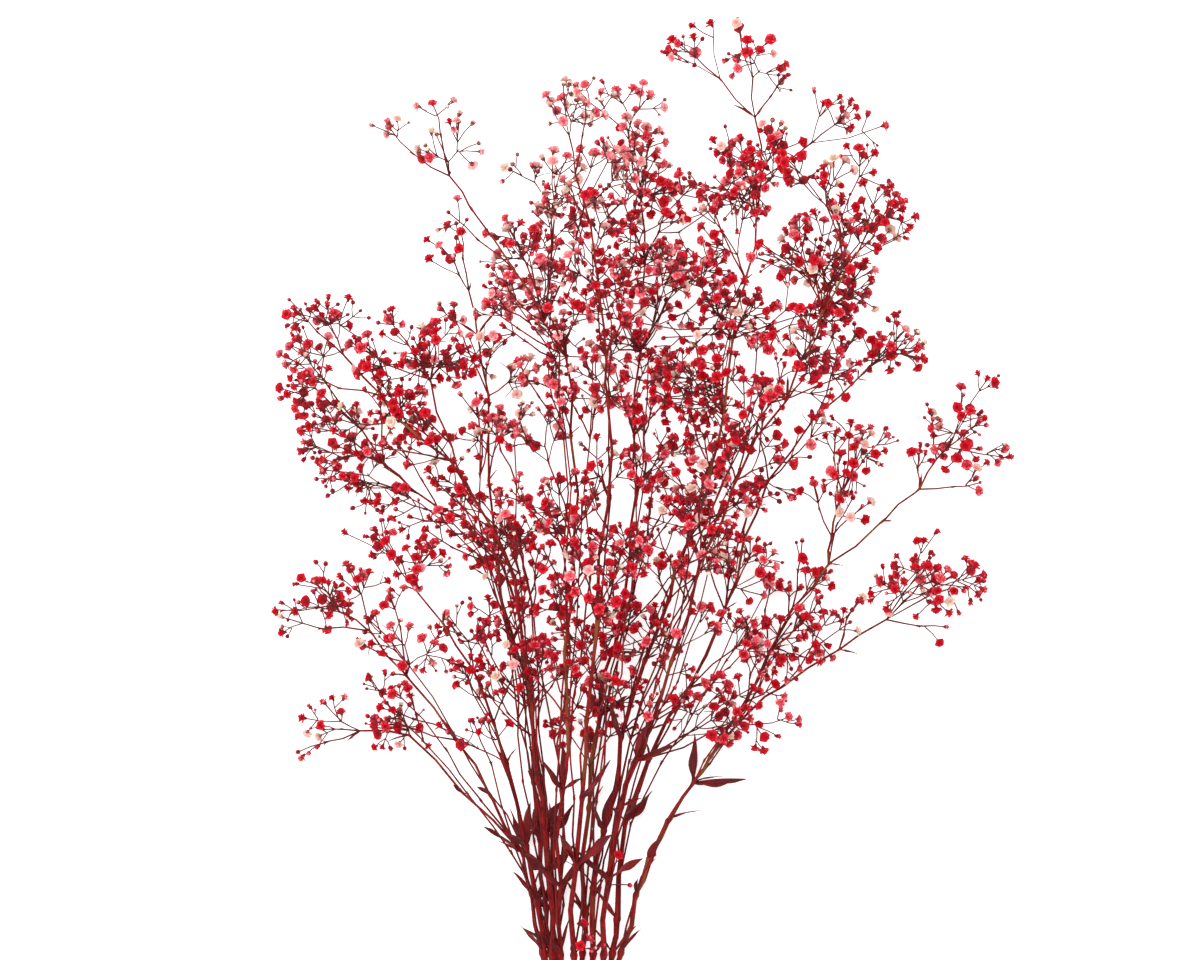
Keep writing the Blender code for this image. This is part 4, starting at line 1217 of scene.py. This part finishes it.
def twig_lines(plan, draw):
    """The lines of the sprays' twigs, and of the finer growth: shoots and pedicels."""
    twigs, pedicels = [], []
    for spray in plan.sprays:
        for twig in spray:
            depth = (HEAD_DEPTH["bud"] if twig.is_bud else HEAD_DEPTH["open"]) * twig.size
            points = [*twig.points[:-1], twig.points[-1] - twig.axis * depth]
            radii = [fine_radius(radius) for radius in twig.radii]
            if len(points) > 2:
                twigs.append(stretch_points(points[:-1], radii[:-1], 1.4, SWELLING_REACH, draw))
            last = stretch_points(points[-2:], [min(radii[-2], 0.3), radii[-1]], 1, SWELLING_REACH, draw)
            pedicels += [last, *bracts(points, draw)]
    for path, radii in plan.shoots:
        pedicels += bracts(path, draw)
        twigs.append(stretch_points(path, radii, 1.5, SWELLING_REACH, draw))
    for path, radii in plan.pedicels:
        pedicels.append(stretch_points(path, radii, 1, SWELLING_REACH, draw))
    return twigs, pedicels


def bracts(path, draw):
    """A pair of tiny pointed bracts at each fork of a twig."""
    pairs = []
    for before, here in zip(path, path[1:-1]):
        way = (here - before).normalized()
        side = way.orthogonal().normalized()
        side.rotate(Matrix.Rotation(draw.uniform(0, 2 * math.pi), 3, way))
        for half_turn in (1, -1):
            tip = here + (way + side * (half_turn * draw.uniform(0.5, 1))) * draw.uniform(1, 1.9)
            pairs.append(([here, tip], [BRACT_RADIUS, BRACT_RADIUS / 6]))
    return pairs


def welded(meshes):
    """One bmesh of the meshes, each with its own material, their doubled points merged."""
    bm = bmesh.new()
    for number, mesh in enumerate(meshes):
        for face in mesh.polygons:
            face.material_index = number
        bm.from_mesh(mesh)
        bpy.data.meshes.remove(mesh)
    bmesh.ops.remove_doubles(bm, verts=bm.verts, dist=1e-6)
    bmesh.ops.recalc_face_normals(bm, faces=bm.faces)
    return bm


def ruffle(bm, tones, petals, lift, length, foot, turn, draw):
    """A ring of petals joined at their sides: a fluted cup that opens from a point and has a thin wall."""
    made = bmesh.ops.create_cone(
        bm, cap_ends=True, cap_tris=False, segments=2 * petals, radius1=0, radius2=1, depth=1,
    )["verts"]
    cap = max({face for vertex in made for face in vertex.link_faces}, key=lambda face: len(face.verts))
    rim = sorted(cap.verts, key=lambda vertex: math.atan2(vertex.co.y, vertex.co.x))
    point, = set(made) - set(rim)
    heart, = bmesh.ops.poke(bm, faces=[cap])["verts"]
    # Each point's tone runs from the heart to the petal tips: the petal material paints shade on low tones and a
    # paler highlight on high ones.
    for number, vertex in enumerate(rim):
        is_tip = number % 2 == 0
        around = turn + math.pi * number / petals
        rise = math.radians(lift + draw.uniform(-RUFFLE, RUFFLE))
        reach = length * draw.uniform(0.9, 1.08) * (1 if is_tip else NOTCH)
        out = math.cos(rise) * reach
        vertex.co = Vector((math.cos(around) * out, math.sin(around) * out, foot + math.sin(rise) * reach))
        vertex[tones] = draw.uniform(0.8, 1) if is_tip else 0.45
    for vertex, height, tone in ((point, -0.35, 0.3), (heart, 0.3, 0.1)):
        vertex.co = Vector((0, 0, foot + height))
        vertex[tones] = tone


# Each kind's rings of petals: how many, their lift in degrees, their length and the height of their foot.
OPEN_RINGS = ((5, 10, 3.2, -0.45), (4, 40, 3.1, -0.45), (3, 68, 2.8, -0.3))
HALF_RINGS = ((4, 60, 3.1, -1.15), (3, 80, 2.95, -0.95))
RUFFLE = 12
NOTCH = 0.84


def bloom_template(name, rings, draw, mouth):
    """A double bloom: rings of petals over their calyx, its middle at the origin, in millimetres."""
    bm = bmesh.new()
    tones = bm.verts.layers.float.new("tone")
    bm.verts.layers.float.new("dye")
    cup = bmesh.ops.create_cone(
        bm, cap_ends=True, cap_tris=False, segments=6, radius1=0.35, radius2=mouth, depth=1.9,
    )["verts"]
    bmesh.ops.translate(bm, verts=cup, vec=(0, 0, -1.2))
    for face in bm.faces:
        face.material_index = 1
    for petals, lift, length, foot in rings:
        ruffle(bm, tones, petals, lift, length, foot, draw.uniform(0, 2 * math.pi), draw)
    return as_template(name, bm)


def bud_template(name, draw):
    """A closed bud: an egg of petals that stands in its calyx."""
    bm = bmesh.new()
    tones = bm.verts.layers.float.new("tone")
    bm.verts.layers.float.new("dye")
    bmesh.ops.create_uvsphere(bm, u_segments=7, v_segments=5, radius=1)
    for vertex in bm.verts:
        # The tone rises towards the bud's tip, where the petal material paints a paler highlight.
        vertex[tones] = 0.5 + vertex.co.z / 2
        girth = BUD_RADIUS * (1 - 0.22 * vertex.co.z) * draw.uniform(0.93, 1.08)
        vertex.co = Vector((vertex.co.x * girth, vertex.co.y * girth, vertex.co.z * 1.35 + 0.1))
    for face in bm.faces:
        face.material_index = 0 if face.calc_center_median().z > 0.75 else 1
    return as_template(name, bm)


def as_template(name, bm):
    mesh = bpy.data.meshes.new(name)
    bm.to_mesh(mesh)
    bm.free()
    return mesh


def head_templates():
    """A few seeded forms of each kind of head."""
    draw = random.Random(f"{SEED} petals")
    return {
        "open": [bloom_template(f"open_{n}", OPEN_RINGS, draw, 1.25) for n in range(6)],
        "half": [bloom_template(f"half_{n}", HALF_RINGS, draw, 1.4) for n in range(4)],
        "bud": [bud_template(f"bud_{n}", draw) for n in range(3)],
    }


def add_head(bm, template, head, draw):
    """Places one copy of a template at its head's place, and gives it its dye."""
    copy = template.copy()
    spin = Matrix.Rotation(draw.uniform(0, 2 * math.pi), 4, "Z")
    axis = head.axis.to_track_quat("Z", "Y").to_matrix().to_4x4()
    copy.transform(Matrix.Translation(head.place * MM) @ axis @ spin @ Matrix.Scale(head.size * MM, 4))
    dye = copy.attributes["dye"].data
    dye.foreach_set("value", [head.dye] * len(dye))
    bm.from_mesh(copy)
    bpy.data.meshes.remove(copy)


def leaf_blade(leaf, thickness, draw):
    """A narrow blade along the leaf's midrib, folded at it, waved at its edges and twisted."""
    bm = bmesh.new()
    bm.loops.layers.uv.new("UVMap")
    bmesh.ops.create_grid(bm, x_segments=4, y_segments=11, size=1, calc_uvs=True)
    wave, fold = draw.uniform(0, 2 * math.pi), draw.uniform(0.3, 1.1)
    for vertex in bm.verts:
        side, share = vertex.co.x, (vertex.co.y + 1) / 2
        point = leaf.line(share)
        way = (leaf.line(share + LEAF_STEP) - point).normalized()
        over = way.cross(leaf.side).cross(way).normalized()
        over.rotate(Matrix.Rotation(leaf.twist * share, 3, way))
        across = way.cross(over)
        half = leaf.width * math.sin(math.pi * (0.1 + 0.86 * share)) * math.sqrt(1 - share ** 8)
        rise = fold * side * side + 0.35 * side * math.sin(7 * share + wave)
        vertex.co = (point + across * (side * half) + over * (rise * half)) * MM
    bmesh.ops.remove_doubles(bm, verts=bm.verts, dist=1e-6)
    bmesh.ops.recalc_face_normals(bm, faces=bm.faces)
    bmesh.ops.solidify(bm, geom=bm.faces, thickness=thickness)
    bmesh.ops.recalc_face_normals(bm, faces=bm.faces)
    return as_template("leaf", bm)


def small_leaves(name, plan, draw):
    """Short narrow leaves and bracts at the nodes above the leaf pairs."""
    leaves = []
    for node in plan.nodes:
        turn = draw.uniform(0, 2 * math.pi)
        lowness = min(max((260 - node.point.y) / 160, 0), 1)
        if draw.random() < 0.2:
            lowness = max(lowness, 0.6)
        for half_turn in (0, math.pi):
            if draw.random() > 0.6:
                continue
            length = draw.uniform(3, 5) + lowness * draw.uniform(3, 13)
            lean = math.radians(draw.uniform(12, 34))
            line, side = leaf_line(node, length, turn + half_turn, lean, draw.uniform(0.2, 0.9))
            if line(1).z < 2 or not in_box(line(1), 0.5):
                continue
            width = draw.uniform(0.4, 0.7) + lowness * draw.uniform(0.2, 0.9)
            leaves.append(Leaf(line, side, length, draw.uniform(-1.6, 1.6), width))
    return leaves


class GYPSOPHILA_OT_stems(Operator):
    """Makes each stem's bark, twigs and pedicels over its plain solid"""

    bl_idname = "gypsophila.stems"
    bl_label = "Stems and twigs"

    def execute(self, context):
        stem = settings().stem_settings
        materials = [
            bark_material("dyed_bark", stem.stem_colour, stem.shade_colour, stem.bare_colour, 0.53),
            bark_material("dyed_twig", stem.twig_colour, stem.shade_colour, stem.stem_colour, 0.45),
            bark_material("dyed_pedicel", stem.pedicel_colour, stem.twig_colour, stem.shade_colour, 0.5),
        ]
        for name, plan in grown_bunch().items():
            draw = random.Random(f"{SEED} wood {name}")
            stout = tubes("stout", stem_lines(name, plan, draw), 3)
            twigs, pedicels = twig_lines(plan, draw)
            bm = welded([stout, tubes("twigs", twigs, 1), tubes("pedicels", pedicels, 0)])
            made = finished(name.replace("stem", "wood"), bm, materials, WOOD_SHARP_ANGLE)
            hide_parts(name)
        return {"FINISHED"}


class GYPSOPHILA_OT_leaves(Operator):
    """Makes each stem's dried leaves and bracts"""

    bl_idname = "gypsophila.leaves"
    bl_label = "Leaves"

    def execute(self, context):
        thickness = settings().leaf_settings.thickness
        material = leaf_material()
        for name, plan in grown_bunch().items():
            draw = random.Random(f"{SEED} blades {name}")
            bm = bmesh.new()
            broad = [leaf._replace(width=leaf.width * draw.uniform(0.95, 1.45)) for leaf in plan.leaves]
            for leaf in broad + small_leaves(name, plan, draw):
                blade = leaf_blade(leaf, thickness, draw)
                bm.from_mesh(blade)
                bpy.data.meshes.remove(blade)
            made = finished(name.replace("stem", "leaves"), bm, [material])
            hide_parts(name)
        return {"FINISHED"}


class GYPSOPHILA_OT_blooms(Operator):
    """Makes each stem's blooms and buds"""

    bl_idname = "gypsophila.blooms"
    bl_label = "Blooms and buds"

    def execute(self, context):
        materials = [petal_material(), calyx_material()]
        templates = head_templates()
        for name, plan in grown_bunch().items():
            draw = random.Random(f"{SEED} blooms {name}")
            bm = bmesh.new()
            for head in plan.heads:
                add_head(bm, draw.choice(templates[head.kind]), head, draw)
            made = finished(name.replace("stem", "blooms"), bm, materials)
            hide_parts(name)
        for kind in templates.values():
            for mesh in kind:
                bpy.data.meshes.remove(mesh)
        return {"FINISHED"}


class GYPSOPHILA_OT_band(Operator):
    """Makes the elastic band that holds the stems"""

    bl_idname = "gypsophila.band"
    bl_label = "Band"

    def execute(self, context):
        band = settings().band_settings
        half_width, half_thick = band.width / 2 / MM, 0.6
        pitch = 2.6
        steps = 36 * band.turns
        crossing = 0.16
        bm = bmesh.new()
        loops = []
        for n in range(steps):
            share = n / steps
            turn = 2 * math.pi * band.turns * share + 0.9
            if share < 1 - crossing:
                along, lift = (share / (1 - crossing) - 0.5), 0
            else:
                back = (share - 1 + crossing) / crossing
                along, lift = 0.5 - back, math.sin(math.pi * back) ** 0.6
            y = along * pitch * (band.turns - 1)
            middle_radius = BAND_HOLE + half_thick - 0.12 + lift * 1.05
            made = bmesh.ops.create_circle(bm, cap_ends=False, segments=10, radius=1)["verts"]
            for vertex in made:
                x, r = vertex.co.x, vertex.co.y
                flat = (abs(x) ** 3 + abs(r) ** 3) ** (-1 / 3)
                out = middle_radius + r * flat * half_thick
                vertex.co = Vector((
                    math.cos(turn) * out, y + x * flat * half_width, BAND_AXIS_Z + math.sin(turn) * out,
                )) * MM
            loops.append([edge for edge in {e for v in made for e in v.link_edges}])
        for lower, upper in zip(loops, loops[1:] + loops[:1]):
            bmesh.ops.bridge_loops(bm, edges=lower + upper)
        bmesh.ops.recalc_face_normals(bm, faces=bm.faces)
        made = finished("elastic_band", bm, [band_material()])
        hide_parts("binding_band")
        return {"FINISHED"}


class GYPSOPHILA_OT_stage(Operator):
    """Makes the pale floor, the soft light and the camera that looks straight down"""

    bl_idname = "gypsophila.stage"
    bl_label = "Stage"

    def execute(self, context):
        stage = settings().stage_settings
        scene = context.scene
        bm = bmesh.new()
        bmesh.ops.create_grid(bm, x_segments=1, y_segments=1, size=stage.floor_size / 2)
        mesh = as_template("floor", bm)
        material, _, shader = dried_material("studio_floor", 0.9, 0.1)
        shader.inputs["Base Color"].default_value = stage.floor_colour
        shader.inputs["Emission Color"].default_value = stage.floor_colour
        shader.inputs["Emission Strength"].default_value = stage.floor_glow
        mesh.materials.append(material)
        floor = bpy.data.objects.new("floor", mesh)
        floor.location.z = -0.0002
        scene.collection.objects.link(floor)

        lamp_data = bpy.data.lights.new("overhead", "AREA")
        lamp_data.size = 1.6
        lamp_data.energy = stage.lamp_power
        lamp = bpy.data.objects.new("overhead", lamp_data)
        lamp.location = (-0.7, 0.9, 3.2)
        aim = Vector((0, 0.25, 0)) - lamp.location
        lamp.rotation_mode = "QUATERNION"
        lamp.rotation_quaternion = aim.to_track_quat("-Z", "Y")
        scene.collection.objects.link(lamp)

        world = bpy.data.worlds.new("surround")
        world.use_nodes = True
        sky = world.node_tree.nodes["Background"]
        sky.inputs["Color"].default_value = (1, 1, 1, 1)
        sky.inputs["Strength"].default_value = stage.sky_strength
        scene.world = world
        scene.view_settings.view_transform = "Standard"

        camera_data = bpy.data.cameras.new("camera")
        camera_data.lens = stage.lens
        camera_data.clip_end = 50
        camera = bpy.data.objects.new("camera", camera_data)
        height = stage.framed_width * stage.lens / camera_data.sensor_width
        camera.location = (0.0092, 0.2963, 0.06 + height)
        scene.collection.objects.link(camera)
        scene.camera = camera
        return {"FINISHED"}


class GYPSOPHILA_PT_panel(Panel):
    """Settings and steps of the bunch"""

    bl_idname = "GYPSOPHILA_PT_panel"
    bl_label = "Gypsophila"
    bl_space_type = "VIEW_3D"
    bl_region_type = "UI"
    bl_category = "Gypsophila"

    def draw(self, context):
        for group, operator in STEPS:
            box = self.layout.box()
            values = getattr(context.scene, group)
            for key in values.bl_rna.properties.keys():
                if key not in ("rna_type", "name"):
                    box.prop(values, key)
            box.operator(operator)


STEPS = (
    ("stem_settings", "gypsophila.stems"), ("leaf_settings", "gypsophila.leaves"),
    ("bloom_settings", "gypsophila.blooms"), ("band_settings", "gypsophila.band"),
    ("stage_settings", "gypsophila.stage"),
)
GROUPS = {
    "stem_settings": StemSettings, "leaf_settings": LeafSettings, "bloom_settings": BloomSettings,
    "band_settings": BandSettings, "stage_settings": StageSettings,
}
CLASSES = (
    *GROUPS.values(), GYPSOPHILA_OT_stems, GYPSOPHILA_OT_leaves, GYPSOPHILA_OT_blooms,
    GYPSOPHILA_OT_band, GYPSOPHILA_OT_stage, GYPSOPHILA_PT_panel,
)


def register():
    for each in CLASSES:
        bpy.utils.register_class(each)
    for name, group in GROUPS.items():
        setattr(bpy.types.Scene, name, PointerProperty(type=group))


def unregister():
    for name in GROUPS:
        delattr(bpy.types.Scene, name)
    for each in reversed(CLASSES):
        bpy.utils.unregister_class(each)


def main():
    register()
    bpy.ops.gypsophila.stems()
    bpy.ops.gypsophila.leaves()
    bpy.ops.gypsophila.blooms()
    bpy.ops.gypsophila.band()
    bpy.ops.gypsophila.stage()


if __name__ == "__main__":
    main()
